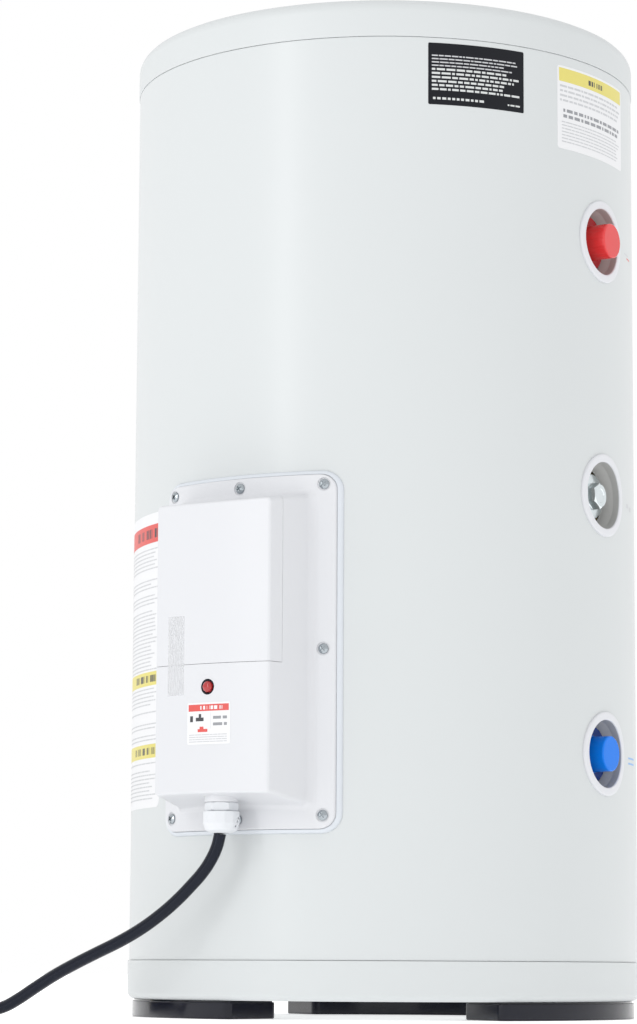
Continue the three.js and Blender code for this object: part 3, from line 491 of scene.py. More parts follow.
def tail_points():
    """From the side of the coil into the plug, which points at +Y."""
    places = ((3.2, -4, 11.1), (4.8, 8, 11), (5.5, 20, 11))
    return [COIL_CENTRE + Vector((-TAIL_RADIUS - aside * MM, along * MM, height * MM))
            for aside, along, height in places]


def power_cord():
    """The whole cord as one curve, and the points that it passes through."""
    route = [Vector((AXIS_X + x, AXIS_Y + y, z)) for x, y, z in CORD_ROUTE]
    points = route + coil_points() + tail_points()
    data = bpy.data.curves.new("power_cord", "CURVE")
    data.dimensions = "3D"
    data.resolution_u = 6
    data.bevel_depth = CORD_RADIUS
    data.bevel_resolution = 6
    data.use_fill_caps = True
    spline = data.splines.new("BEZIER")
    spline.bezier_points.add(len(points) - 1)
    for spot, knot in zip(points, spline.bezier_points):
        knot.co = spot
        knot.handle_left_type = knot.handle_right_type = "AUTO"
    data.materials.append(LOOKS["cord"])
    made = add_object("mains_cord", data)
    return finish_piece(made, ["power_cord", "cord_coil", "cord_tail"]), points


cord, cord_points = power_cord()


def coil_tie():
    """A flat tie round the three turns of the coil."""
    half_width = 3 * MM
    around = 40
    middle_turn = Vector(((COIL_INNER + COIL_OUTER) / 2, COIL_LOW + CORD_TURN / 2))
    half_height = CORD_RADIUS + CORD_TURN / 2
    rings = []
    for wide, lift in ((-half_width, 0.1), (-half_width, 0.9), (half_width, 0.9), (half_width, 0.1)):
        ring = []
        for k in range(around):
            angle = 2 * math.pi * k / around
            reach = Vector((math.cos(angle), math.sin(angle)))
            squareness = max(abs(reach.x), abs(reach.y)) ** 0.55
            spot = middle_turn + reach * (half_height / squareness + lift * MM)
            ring.append(Vector((spot.x, wide, spot.y)))
        rings.append(ring)
    place = Matrix.Translation(COIL_CENTRE) @ Matrix.Rotation(math.radians(70), 4, "Z")
    made = lofted("coil_tie", rings, "rubber", place, hollow=True)
    return finish_piece(made, None)


# ------------------------------------------------------------------ shell
PORT_OPENING = 31.8 * MM
ELEMENT_OPENING = 45 * MM
JACKET_WALL = 1 * MM
SEAM = 0.5 * MM  # the gap at the top cover and at the base pan
SHELL_WALL = 3.2 * MM
LIP_RADIUS = RADIUS - JACKET_WALL - 0.3 * MM
LIP = 8 * MM  # how far the cover and the pan reach into the jacket
LIP_WALL = 1.5 * MM


def hole_edges(azimuth, holes):
    """The heights at which an upright line on the jacket meets the holes' edges."""
    heights = []
    for centre, radius, levels in holes:
        aside = RADIUS * math.sin(math.radians(azimuth - centre))
        if abs(azimuth - centre) < 45 and abs(aside) <= radius + 1e-7:
            rise = math.sqrt(max(radius * radius - aside * aside, 0))
            for level in levels:
                heights += [level - rise, level + rise]
    return heights


def jacket_columns():
    """The azimuths of the jacket's upright lines, each with the heights where its sheet starts and ends."""
    element = middle("element_flange").z
    holes = [(PORT_AZIMUTH, PORT_OPENING, sorted(PORTS.values())), (0, ELEMENT_OPENING, [element])]
    azimuths = {-180 + 360 * k / FINE for k in range(FINE)}
    for centre, radius, _ in holes:
        reach = math.degrees(math.asin(radius / RADIUS))
        azimuths = {a for a in azimuths if abs(a - centre) > reach + 0.4}
        steps = 36
        across = [math.cos(math.pi * k / steps) * radius / RADIUS for k in range(steps + 1)]
        azimuths |= {centre + math.degrees(math.asin(x)) for x in across}
    return [(a, [LOW_SEAM, *hole_edges(a, holes), HIGH_SEAM]) for a in sorted(azimuths)]


def jacket_sheet(columns):
    """The faces of the jacket's outer skin, each a loop of (column, height) corners."""
    loops = []
    for left, (_, a) in enumerate(columns):
        right = (left + 1) % len(columns)
        b = columns[right][1]
        if len(a) == len(b):
            for low, high in zip(range(0, len(a), 2), range(1, len(a), 2)):
                loops.append([(left, a[low]), (right, b[low]), (right, b[high]), (left, a[high])])
        else:
            loops.append([(right, z) for z in b] + [(left, z) for z in reversed(a)])
    rounded = [[(column, round(z, 7)) for column, z in loop] for loop in loops]
    return [list(dict.fromkeys(loop)) for loop in rounded]


def jacket():
    """The jacket's sheet with its round openings: both skins and the edges between them."""
    columns = jacket_columns()
    loops = [loop for loop in jacket_sheet(columns) if len(loop) > 2]
    corners = list(dict.fromkeys(corner for loop in loops for corner in loop))
    index = {corner: k for k, corner in enumerate(corners)}
    count = len(corners)
    points = []
    for radius in (RADIUS, RADIUS - JACKET_WALL):
        points += [facing(columns[column][0], z) @ Vector((0, 0, radius)) for column, z in corners]
    outer = [tuple(index[corner] for corner in loop) for loop in loops]
    inner = [tuple(k + count for k in reversed(face)) for face in outer]
    sides = {(a, b) for face in outer for a, b in zip(face, face[1:] + face[:1])}
    edges = [(b, a, a + count, b + count) for a, b in sides if (b, a) not in sides]
    made = new_object("jacket_shell", points, outer + inner + edges, "enamel")
    made.data.shade_smooth()
    outward = [Vector((p.x - AXIS_X, p.y - AXIS_Y, 0)).normalized() for p in points]
    normals = []
    for polygon in made.data.polygons:
        skin = 0 if polygon.index < len(outer) else 1 if polygon.index < 2 * len(outer) else 2
        for vertex in polygon.vertices:
            normals.append((outward[vertex], -outward[vertex], polygon.normal)[skin])
    made.data.normals_split_custom_set(normals)
    return finish_piece(made, "jacket")


def end_shell(name, node_name, radius, end, seam, side, rounding):
    """A hollow cover or pan with a rounded rim and a lip inside the jacket; `side` is 1 at the top
    of the jacket and -1 at its bottom."""
    corners = [
        (0, end, 0),
        (radius, end, rounding),
        (radius, seam + side * SEAM, 0.5 * MM),
        (LIP_RADIUS, seam + side * SEAM, 0.1 * MM),
        (LIP_RADIUS, seam - side * LIP, 0.4 * MM),
        (LIP_RADIUS - LIP_WALL, seam - side * LIP, 0.4 * MM),
        (LIP_RADIUS - LIP_WALL, end - side * SHELL_WALL, rounding * 2 / 3),
        (0, end - side * SHELL_WALL, 0),
    ]
    made = turned(name, corners, "shell", FINE)
    return finish_piece(made, node_name)


# ------------------------------------------------------------------ feet
FOOT_OUTER = 222 * MM
FOOT_INNER = 154 * MM
FOOT_BOLT_RADIUS = 196 * MM
FOOT_SPAN = 58.5  # degrees round the tank's axis
FOOT_CORNER = 7 * MM
FOOT_CORNER_STEPS = 8
FOOT_ARC_STEPS = 40
FEET = {"foot_front": -32.7, "foot_right": 87.3, "foot_rear": 207.3}


def foot_ring(inset, height):
    """The foot's outline, an arc of a ring with round corners, set in by a distance."""
    corner = FOOT_CORNER - inset
    bends = [math.pi / 2 * k / FOOT_CORNER_STEPS for k in range(1, FOOT_CORNER_STEPS)]
    edges = (FOOT_OUTER - inset, 1), (FOOT_INNER + inset, -1)
    ring = []
    for (radius, side), (other, _) in (edges, edges[::-1]):
        half = math.radians(FOOT_SPAN / 2) - inset / radius
        turn = corner / radius
        arc = 2 * half - 2 * turn
        spots = [(radius, -half + turn + arc * k / FOOT_ARC_STEPS) for k in range(FOOT_ARC_STEPS + 1)]
        near = radius - side * corner
        spots += [(near + side * corner * math.cos(b), half - turn * (1 - math.sin(b))) for b in bends]
        far = other + side * corner
        spots += [(near, half), (far, half)]
        half = math.radians(FOOT_SPAN / 2) - inset / other
        turn = corner / other
        spots += [(far - side * corner * math.sin(b), half - turn * (1 - math.cos(b))) for b in bends]
        ring += [Vector((r * math.sin(side * a), -r * math.cos(side * a), height)) for r, a in spots]
    return ring


def foot(name, azimuth):
    """A glossy block with soft edges and a hole for its bolt."""
    levels = [(1.4, 0), (0.5, 0.25), (0.1, 0.8), (0, 1.6), (0, 13.2), (0.1, 13.6), (0.5, 13.9),
              (1.8, 14.0), (1.8, PAN_BOTTOM / MM - 0.2)]
    made = capped(name + "_block", [foot_ring(inset * MM, height * MM) for inset, height in levels], "black")
    carve(made, pin("bolt_hole", 5.6 * MM, -1 * MM, 8 * MM, Matrix.Translation((0, -FOOT_BOLT_RADIUS, 0))))
    turn = Matrix.Rotation(math.radians(azimuth), 4, "Z")
    made.data.transform(Matrix.Translation((AXIS_X, AXIS_Y, 0)) @ turn)
    smooth(made)
    return finish_piece(made, name)


# ------------------------------------------------------------------ ports
PORT_HOLE = 29 * MM
TRIM_NARROW = 25 * MM
COLLAR_OUTER = 31 * MM
CAP_RADIUS = 15.2 * MM
NIPPLE_RADIUS = 13.3 * MM
NIPPLE_BORE = 10.5 * MM
THREAD_PITCH = 25.4 / 14 * MM
THREAD_DEPTH = 0.9 * MM


def port_trim(port):
    """A white ring whose lip follows the jacket and whose collar narrows towards the tank; the walls inside
    the ring take a darker grey, a painted shade.
    """
    lip = [(TRIM_RADIUS, 0), (TRIM_RADIUS, 0.9), (TRIM_RADIUS - 0.3 * MM, 1.5), (TRIM_RADIUS - 1 * MM, 1.9),
           (TRIM_RADIUS - 2 * MM, 2.0), (PORT_HOLE + 1.6 * MM, 2.0), (PORT_HOLE + 0.7 * MM, 1.85),
           (PORT_HOLE + 0.2 * MM, 1.4), (PORT_HOLE, 0.7)]
    collar = [(PORT_HOLE, 219), (PORT_HOLE - 0.3 * MM, 218.2), (TRIM_NARROW + 0.2 * MM, 210.4),
              (TRIM_NARROW - 0.3 * MM, 209.8), (TRIM_NARROW - 0.6 * MM, 209.4), (TRIM_NARROW - 0.6 * MM, 209),
              (TRIM_NARROW + 2 * MM, 209), (COLLAR_OUTER, 218)]
    under_lip = [(COLLAR_OUTER, -0.8), (COLLAR_OUTER, 0)]
    # The lip's second number is its rise above the jacket, the collar's its distance from the tank's axis.
    stations = [(*spot, rises) for part, rises in ((lip, 1), (collar, 0), (under_lip, 1)) for spot in part]
    points = []
    for radius, value, rises in stations:
        for angle in round_angles(SMALL):
            x, y = radius * math.cos(angle), radius * math.sin(angle)
            drum = RADIUS + value * MM
            points.append(Vector((x, y, math.sqrt(drum * drum - x * x) if rises else value * MM)))
    name = f"port_trim_{port}"
    faces = grid_faces(len(stations), SMALL, close_rows=True)
    # The rows of the wall inside the ring take the recess look, a painted shade.
    recess = range(len(lip) - 1, len(lip) + 5)
    face_looks = [int(k // SMALL in recess) for k in range(len(faces))]
    made = new_object(f"{name}_ring", points, faces, ["trim", "recess"], face_looks)
    made.data.transform(facing(PORT_AZIMUTH, PORTS[port]))
    smooth(face_out(made))
    return finish_piece(made, name)


def port_cap(port, look, ribs):
    """A press-on cap with a round flange in the recess and shallow ribs down its side; the flange takes a
    darker copy of the cap's plastic, a painted shade.
    """
    name = f"cap_{port}"
    low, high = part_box(name)
    face = high.x - AXIS_X
    flange = (high.z - low.z) / 2
    seat = low.x - AXIS_X
    inner = NIPPLE_RADIUS + 0.4 * MM
    corners = [
        (0, face, 0), (CAP_RADIUS, face, 1.3 * MM), (CAP_RADIUS + 0.1 * MM, seat + 2 * MM, 1.0 * MM),
        (flange, seat + 2 * MM, 0.5 * MM), (flange, seat, 0.3 * MM), (inner, seat, 0.3 * MM),
        (inner, face - 2.2 * MM, 0.5 * MM), (0, face - 2.2 * MM, 0),
    ]

    def ribbed(angle, radius, _height):
        """The cap's radius with its grooves, which are on its side only."""
        on_side = CAP_RADIUS - 0.05 * MM < radius < CAP_RADIUS + 0.3 * MM
        groove = max(math.cos(angle * ribs), 0) ** 8 if on_side and ribs else 0
        return radius - 0.45 * MM * groove

    made = turned(name + "_cap", corners, look, 144, facing(PORT_AZIMUTH, PORTS[port]), radius_at=ribbed)
    # The flange down in the recess gets the darker copy of the cap's colour: painted shade.
    made.data.materials.append(LOOKS[look + "_painted_shade"])
    for polygon in made.data.polygons:
        polygon.material_index = int(polygon.center.x < low.x + 2.1 * MM)
    return finish_piece(made, name, name)


def nipple(port):
    """A brass nipple with a pipe thread on it."""
    name = f"nipple_{port}"
    low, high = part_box(name)
    start, end = low.x - AXIS_X, high.x - AXIS_X
    steps = 64
    rows = int((end - start) / (THREAD_PITCH / 8))
    stations = [(NIPPLE_BORE, start), (NIPPLE_RADIUS, start)]
    stations += [(NIPPLE_RADIUS, start + (end - start) * k / rows) for k in range(1, rows)]
    stations += [(NIPPLE_RADIUS - 0.6 * MM, end), (NIPPLE_BORE + 0.4 * MM, end),
                 (NIPPLE_BORE, end - 0.4 * MM)]
    points = []
    for radius, height in stations:
        threaded = radius == NIPPLE_RADIUS and height > start + 20 * MM
        for angle in round_angles(steps):
            phase = (height / THREAD_PITCH - angle / 2 / math.pi) % 1
            r = radius - (THREAD_DEPTH * abs(2 * phase - 1) if threaded else 0)
            points.append(Vector((r * math.cos(angle), r * math.sin(angle), height)))
    made = new_object(f"{name}_pipe", points, grid_faces(len(stations), steps, close_rows=True), "brass")
    made.data.transform(facing(PORT_AZIMUTH, PORTS[port]))
    smooth(face_out(made), 50, weighted=False)
    return finish_piece(made, name)


def anode_plug():
    """A plated hexagon plug with a broad washer face and a chamfered head."""
    face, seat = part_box("anode_plug")[1].x - AXIS_X, 211.5 * MM
    thread_end = 191 * MM
    thread = 13.2 * MM
    flange = 19.4 * MM
    half_flats = 20.3 / 2 * MM
    chamfer = half_flats - 0.6 * MM
    columns = []
    for angle in round_angles(144):
        corner = half_flats * to_flat(angle, 6)
        drop = (corner - chamfer) * 0.55
        columns.append([
            (0.5 * MM, face - 0.7 * MM), (5.5 * MM, face - 0.7 * MM), (6.3 * MM, face - 0.05 * MM),
            (chamfer, face), (corner - 0.15 * MM, face - drop), (corner, face - drop - 0.3 * MM),
            (corner, seat + 3.2 * MM), (corner + 0.6 * MM, seat + 2.6 * MM),
            (flange - 0.7 * MM, seat + 2.4 * MM), (flange, seat + 1.8 * MM), (flange, seat),
            (thread, seat), (thread, thread_end),
        ])
        columns[-1] = [Vector((r * math.cos(angle), r * math.sin(angle), z)) for r, z in columns[-1]]
    made = capped("anode_head", list(zip(*columns)), "bright_zinc")
    made.data.transform(facing(PORT_AZIMUTH, PORTS["anode"]))
    smooth(made, 28)
    return finish_piece(made, "anode_plug", "anode")


# ------------------------------------------------------------------ control box
housing_low, housing_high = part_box("control_housing")
FLANGE_HALF = (housing_high.x - housing_low.x) / 2
FLANGE_LOW = 156.5 * MM
FLANGE_HIGH = housing_high.z
FLANGE_CORNER = 13 * MM
FLANGE_BACK = RADIUS + 1.8 * MM
FLANGE_RADIUS = 230.3 * MM
BOX_HALF = 65 * MM
BOX_LOW = 176.8 * MM
BOX_HIGH = 435 * MM
BOX_FRONT_HALF = 57 * MM
BOX_FRONT_LOW = 184.5 * MM
BOX_FRONT_HIGH = 428 * MM
BOX_BASE_Y = 228 * MM
BOX_FRONT_Y = 271 * MM
BOX_FRONT_RADIUS = AXIS_Y - housing_low.y
BOX_CORNER = 4 * MM
BOX_WALL = 2.2 * MM
COVE = 5 * MM
EDGE = 1.7 * MM
COVER_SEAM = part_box("access_cover")[0].z - 0.3 * MM
COVER_EDGE_RADIUS = BOX_FRONT_RADIUS - 14 * MM
SCREW_AZIMUTH = 19.4
SCREW_SINK = 0.8 * MM
SCREWS = {f"housing_screw_{level}_{hand}": side * SCREW_AZIMUTH
          for level in ("low", "middle", "high") for hand, side in (("left", -1), ("right", 1))}
SCREWS |= {"housing_screw_top": 0, "housing_screw_bottom": 0}
GLAND = middle("gland_body")
GLAND_PLACE = Matrix.Translation((GLAND.x, GLAND.y, 0))
GLAND_SEAT = 178.5 * MM
BUTTON = middle("reset_button")


def box_ring(radius, margin):
    """The box's outline where it meets a drum, grown by a margin. Its sides lean inwards."""
    corner = BOX_CORNER + margin
    base = outline(BOX_HALF + margin, BOX_LOW - margin, BOX_HIGH + margin, corner)
    tip = outline(BOX_FRONT_HALF + margin, BOX_FRONT_LOW - margin, BOX_FRONT_HIGH + margin, corner)
    ring = []
    for (x0, z0), (x1, z1) in zip(base, tip):
        part = 0.5
        for _ in range(8):
            x = x0 + (x1 - x0) * part
            depth = math.sqrt(radius * radius - x * x)
            part = (depth - BOX_BASE_Y) / (BOX_FRONT_Y - BOX_BASE_Y)
        ring.append(Vector((x0 + (x1 - x0) * part, z0 + (z1 - z0) * part, depth)))
    return ring


def flange_ring(radius, margin):
    """The flange's outline on a drum, grown by a margin."""
    corner = FLANGE_CORNER + margin
    return on_drum(outline(FLANGE_HALF + margin, FLANGE_LOW - margin, FLANGE_HIGH + margin, corner), radius)


def quarter(steps=5):
    """The sine and cosine along a quarter turn."""
    angles = [math.pi / 2 * k / steps for k in range(steps + 1)]
    return [(math.sin(angle), math.cos(angle)) for angle in angles]


def box_body():
    """The outer form of the control box with its flange, as one solid."""
    soft = 1.2 * MM
    rings = [flange_ring(FLANGE_BACK, 0)]
    rings += [flange_ring(FLANGE_RADIUS - soft + soft * s, -soft + soft * c) for s, c in quarter()]
    rings += [box_ring(FLANGE_RADIUS + COVE * (1 - c), COVE * (1 - s)) for s, c in quarter()]
    rings += [box_ring(BOX_FRONT_RADIUS - EDGE + EDGE * s, -EDGE + EDGE * c) for s, c in quarter()]
    return lofted("box_body", rings, "box")


def box_cavity():
    """The space inside the control box, which opens towards the jacket."""
    rings = [box_ring(RADIUS - 5 * MM, -BOX_WALL), box_ring(BOX_FRONT_RADIUS - BOX_WALL, -BOX_WALL)]
    return lofted("box_cavity", rings, "box")


def cover_space(gap):
    """The space that the access cover takes up, set back by a gap."""
    shape = outline(90 * MM, COVER_SEAM + gap, 500 * MM, 0.2 * MM)
    return lofted("cover_space", [on_drum(shape, r) for r in (COVER_EDGE_RADIUS + gap, 320 * MM)], "box")


def gland_pad():
    """The round pad under the box that the gland seats on."""
    corners = [(0, GLAND_SEAT, 0), (14 * MM, GLAND_SEAT, 0.6 * MM), (14 * MM, BOX_LOW + 8 * MM, 0),
               (0, BOX_LOW + 8 * MM, 0)]
    return turned("gland_pad", corners, "box", 48, GLAND_PLACE)


def control_housing():
    """The fixed half of the box: flange, side walls and lower front, with its holes."""
    made = box_body()
    carve(made, gland_pad(), "UNION")
    carve(made, box_cavity())
    carve(made, cover_space(0))
    carve(made, pin("gland_hole", 10.2 * MM, 150 * MM, 200 * MM, GLAND_PLACE))
    carve(made, pin("button_hole", 6.6 * MM, 255 * MM, 300 * MM, facing(0, BUTTON.z)))
    for name, azimuth in SCREWS.items():
        place = facing(azimuth, middle(name).z)
        carve(made, pin("sink", 5.7 * MM, FLANGE_RADIUS - SCREW_SINK, 240 * MM, place, 40))
    made.name = "box_housing"
    smooth(made)
    return finish_piece(made, "control_housing")


def access_cover():
    """The upper half of the box, which lifts off."""
    made = box_body()
    carve(made, cover_space(0.35 * MM), "INTERSECT")
    carve(made, box_cavity())
    made.name = "box_cover"
    smooth(made)
    return finish_piece(made, "access_cover", "access_cover")


def housing_gasket():
    """A soft rim that stands out round the flange and slopes down to the jacket."""
    lift = 0.15 * MM
    outer = 3.6 * MM
    stations = [(RADIUS + lift, outer), (RADIUS + 1.0 * MM, outer), (RADIUS + 1.9 * MM, outer - 0.5 * MM),
                (RADIUS + 2.6 * MM, outer - 1.3 * MM), (RADIUS + 3.1 * MM, outer - 2.4 * MM),
                (RADIUS + 3.2 * MM, 0.35 * MM), (RADIUS + 2.4 * MM, 0.25 * MM),
                (FLANGE_BACK - 0.2 * MM, 0.2 * MM), (FLANGE_BACK - 0.2 * MM, -9 * MM),
                (RADIUS + lift, -9 * MM)]
    rings = [flange_ring(radius, margin) for radius, margin in stations]
    made = lofted("box_gasket", rings, "gasket", hollow=True)
    return finish_piece(made, "housing_gasket")


def housing_screw(name, azimuth):
    """A pan-head screw with a cross recess, in its sunk seat."""
    seat = FLANGE_RADIUS - SCREW_SINK + 0.05 * MM
    head = 4.4 * MM
    place = facing(azimuth, middle(name).z)
    corners = [
        (0, seat + 2.5 * MM, 0), (2.4 * MM, seat + 2.3 * MM, 1.2 * MM), (head, seat + 1.0 * MM, 1.0 * MM),
        (head, seat, 0.2 * MM), (1.7 * MM, seat, 0), (1.7 * MM, RADIUS - 2 * MM, 0),
        (0, RADIUS - 2.6 * MM, 0),
    ]
    made = turned(name + "_head", corners, "zinc", 48, place)
    half_long, half_wide, deepest = 2.5 * MM, 0.5 * MM, seat + 0.9 * MM
    arm = [Vector((half_long, -half_wide)), Vector((half_long, half_wide)), Vector((half_wide, half_wide))]
    cross = [Matrix.Rotation(math.radians(35 + 90 * k), 2) @ spot for k in range(4) for spot in arm]
    rings = [[Vector((x, y, z)) for x, y in cross] for z in (deepest, deepest + 10 * MM)]
    recess = capped("cross_recess", rings, "zinc")
    recess.data.transform(place)
    carve(made, recess)
    smooth(made)
    return finish_piece(made, name)


# ------------------------------------------------------------------ cord gland and button
def gland_body():
    """The gland's flange with its hexagon, standing under the box."""
    top = GLAND_SEAT - 0.2 * MM
    bottom = 160.5 * MM
    half_flats = 12 * MM

    def hexagon(angle, radius, _height):
        """The radius cut down to the hexagon's flats."""
        return min(radius, half_flats * to_flat(angle, 6)) if radius > half_flats else radius

    corners = [
        (5.7 * MM, top + 13 * MM, 0), (9.8 * MM, top + 13 * MM, 0.4 * MM), (9.8 * MM, top, 0),
        (12.4 * MM, top, 0), (14 * MM, top - 1.0 * MM, 0.3 * MM), (14 * MM, top - 6.0 * MM, 0.3 * MM),
        (12.6 * MM, top - 7 * MM, 0), (10.3 * MM, top - 7 * MM, 0), (10.3 * MM, bottom, 0),
        (5.7 * MM, bottom, 0),
    ]
    made = turned("gland_hexagon", corners, "nylon", 144, GLAND_PLACE, closed=True, radius_at=hexagon)
    return finish_piece(made, "gland_body")


def gland_nut():
    """The domed nut that clamps the cord, with shallow flats round its side."""
    low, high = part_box("gland_nut")
    outer = (high.x - low.x) / 2
    bore = 6.4 * MM

    def flats(angle, radius, height):
        """The radius with twelve flats, which fade out towards the dome."""
        fade = min(max((height - low.z - 5 * MM) / (3 * MM), 0), 1)
        flat = math.cos(math.pi / 12) * to_flat(angle, 12)
        return radius * (1 - fade + fade * flat) if radius > 12 * MM else radius

    corners = [
        (bore, low.z, 0.6 * MM), (outer - 6.5 * MM, low.z, 0.8 * MM),
        (outer - 2.2 * MM, low.z + 2.2 * MM, 2 * MM), (outer, low.z + 8 * MM, 2 * MM),
        (outer, high.z, 0.6 * MM), (10.6 * MM, high.z, 0), (10.6 * MM, low.z + 7 * MM, 0),
        (bore, low.z + 7 * MM, 0),
    ]
    made = turned("gland_dome_nut", corners, "nylon", 144, GLAND_PLACE, closed=True, radius_at=flats)
    for turn, height in ((7, 9.5), (2, 5.6), (13, 12.2)):
        spot = Matrix.Translation((GLAND.x, GLAND.y, low.z + height * MM))
        aim = Matrix.Rotation(math.radians(turn), 4, "Z") @ Matrix.Rotation(math.radians(90), 4, "Y")
        carve(made, pin("dimple", 1.2 * MM, outer - 4 * MM, outer + 2 * MM, spot @ aim, 24))
    smooth(made)
    return finish_piece(made, "gland_nut")


def reset_button():
    """A red dome in a dark gap, with its stop and stem inside the box."""
    low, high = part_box("reset_button")
    face = AXIS_Y - low.y
    radius = 4.8 * MM
    corners = [
        (0, face, 0), (2.8 * MM, face - 0.4 * MM, 3 * MM), (4.4 * MM, face - 1.8 * MM, 1.2 * MM),
        (radius, face - 3.6 * MM, 0.4 * MM), (radius, face - 5.7 * MM, 0), (8 * MM, face - 5.7 * MM, 0),
        (8 * MM, face - 7.7 * MM, 0), (3 * MM, face - 7.7 * MM, 0), (3 * MM, AXIS_Y - high.y, 0),
        (0, AXIS_Y - high.y, 0),
    ]
    made = turned("button_dome", corners, "button", SMALL, facing(0, BUTTON.z))
    return finish_piece(made, "reset_button", "reset_button")


def button_gap_shade_ring():
    """A black ring in the box that the button slides through; its black stands for the shade in the gap round
    the button, a painted shade.
    """
    inner, outer = 5.05 * MM, 6.5 * MM
    low, high = BOX_FRONT_RADIUS - 1.9 * MM, BOX_FRONT_RADIUS - 0.5 * MM
    rim = high + 0.4 * MM
    corners = [(outer, low, 0), (outer, rim, 0.2 * MM), (outer - 0.5 * MM, rim, 0.2 * MM),
               (outer - 0.8 * MM, high, 0.1 * MM), (inner, high, 0.1 * MM), (inner, low, 0)]
    made = turned("button_gap_shade_ring", corners, "black", SMALL, facing(0, BUTTON.z), closed=True)
    return finish_piece(made, None)


# ------------------------------------------------------------------ plug
def plug():
    """The moulded plug on its side: a ribbed relief, a waisted grip and three pins."""
    low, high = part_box("plug_body")
    place = Matrix.Translation(((low.x + high.x) / 2, low.y, (low.z + high.z) / 2))
    place = place @ Matrix.Rotation(math.radians(-90), 4, "X")
    relief = 22 * MM
    half_wide, half_thick = (high.x - low.x) / 2, (high.z - low.z) / 2
    stations = []
    for k in range(23):
        along = relief * k / 22
        size = 6.3 * MM + 2.9 * MM * k / 22
        ridge = 0.55 * MM if k % 4 in (2, 3) else 0
        stations.append((along, size - ridge, size - ridge, size - ridge - 0.01 * MM))
    grip = [(0, 0.74, 0.9), (1, 0.86, 0.96), (3, 0.95, 1), (8, 1, 1), (14, 0.93, 0.95), (20, 0.93, 0.95),
            (26, 1, 1), (30.5, 1, 1), (31.4, 0.98, 0.97), (32, 0.94, 0.92)]
    for along, wide, thick in grip:
        corner = 6 * MM * min(wide, thick)
        stations.append((relief + along * MM, half_wide * wide, half_thick * thick, corner))
    rings = []
    for along, wide, thick, corner in stations:
        shape = outline(wide, -thick, thick, min(corner, wide, thick) - 0.005 * MM, 16, 8)
        rings.append([Vector((x, z, along)) for x, z in shape])
    made = lofted("plug_grip", rings, "cord", place)
    finish_piece(made, "plug_body")
    return [made] + [plug_pin(name) for name in ("plug_blade_live", "plug_blade_neutral", "plug_ground_pin")]


def plug_pin(name):
    """A brass blade or pin with a chamfered tip."""
    low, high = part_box(name)
    size = high - low
    centre = middle(name)
    roundness = 0.35 if "blade" in name else 0.98
    rings = []
    for along, share in ((0, 1), (size.y - 1.2 * MM, 1), (size.y - 0.3 * MM, 0.8), (size.y, 0.55)):
        wide, tall = size.x / 2 * share, size.z / 2 * share
        shape = outline(wide, -tall, tall, min(wide, tall) * roundness, 4, 6)
        rings.append([Vector((x, along, z)) for x, z in shape])
    made = lofted(name + "_metal", rings, "brass", Matrix.Translation((centre.x, low.y, centre.z)))
    return finish_piece(made, name)


# ------------------------------------------------------------------ labels
# Sizes and places on a label are in millimetres: x sideways from its middle, z above the low seam.
PRINT_LIFT = 0.24 * MM  # ink above the surface under the label
MARK_LIFT = 0.06 * MM  # ink printed straight on the jacket


def label(name, azimuth, radius, half, low, high, corner, look, body="heater", thickness=0.18):
    """A thin sheet with round corners that follows a drum."""
    edge = 0.04
    rings = []
    for inset, lift in ((0, 0.02), (0, thickness - edge), (edge, thickness)):
        bottom, top = LOW_SEAM + (low + inset) * MM, LOW_SEAM + (high - inset) * MM
        rings.append(on_drum(outline((half - inset) * MM, bottom, top, corner * MM), radius + lift * MM))
    return finish_piece(lofted(name, rings, look, facing(azimuth)), None, body)


def jacket_label(name, left, right, low, high, corner, look):
    """A label on the jacket between two azimuths. Returns its middle azimuth and its half width."""
    azimuth = (left + right) / 2
    half = RADIUS / MM * math.sin(math.radians((right - left) / 2))
    label(name, azimuth, RADIUS, half, low, high, corner, look)
    return azimuth, half


def prints(name, azimuth, radius, marks, looks, base=LOW_SEAM):
    """Flat (x0, z0, x1, z1, look) rectangles that follow a drum, with their heights above a base."""
    widest = 4
    points, faces, face_looks = [], [], []
    for x0, z0, x1, z1, look in marks:
        columns = max(1, math.ceil((x1 - x0) / widest))
        first = len(points)
        for k in range(columns + 1):
            x = (x0 + (x1 - x0) * k / columns) * MM
            depth = math.sqrt(radius * radius - x * x)
            points += [Vector((x, base + z * MM, depth)) for z in (z0, z1)]
        faces += [(a, a + 2, a + 3, a + 1) for a in range(first, first + 2 * columns, 2)]
        face_looks += [looks.index(look)] * columns
    made = new_object(name, points, faces, looks, face_looks)
    made.data.transform(facing(azimuth))
    made.data.shade_smooth()
    return finish_piece(made, None)


def words(x0, x1, z, height, look, chance, longest=9):
    """A line of unreadable text: short bars with gaps, from x0 to about x1."""
    marks = []
    x = x0
    while x < x1 - 1.5:
        width = min(chance.uniform(0.25, 1) * longest, x1 - x)
        marks.append((x, z, x + width, z + height, look))
        x += width + height * 0.7
    return marks


def rating_plate():
    """The black plate near the top, with rows of unreadable light text."""
    chance = random.Random(3)
    low, high = 722, 776
    azimuth, half = jacket_label("plate_rating", 41.4, 64.0, low, high, 1.2, "plate")
    marks = []
    z = high - 10.5
    for row in range(10):
        bold = row > 3
        tall = 1.8 if bold else 1.1
        end = half - chance.uniform(4, 22)
        marks += words(-half + 3, end, z - tall, tall, "ink_white" if bold else "ink_light", chance, 8)
        z -= 3.5 if bold else 2.9
    marks += words(-half + 4, 6, low + 4.5, 2.0, "ink_white", chance, 5)
    marks += words(half - 16, half - 4, low + 4.5, 1.4, "ink_white", chance, 6)
    prints("print_rating", azimuth, RADIUS + PRINT_LIFT, marks, ["ink_white", "ink_light"])


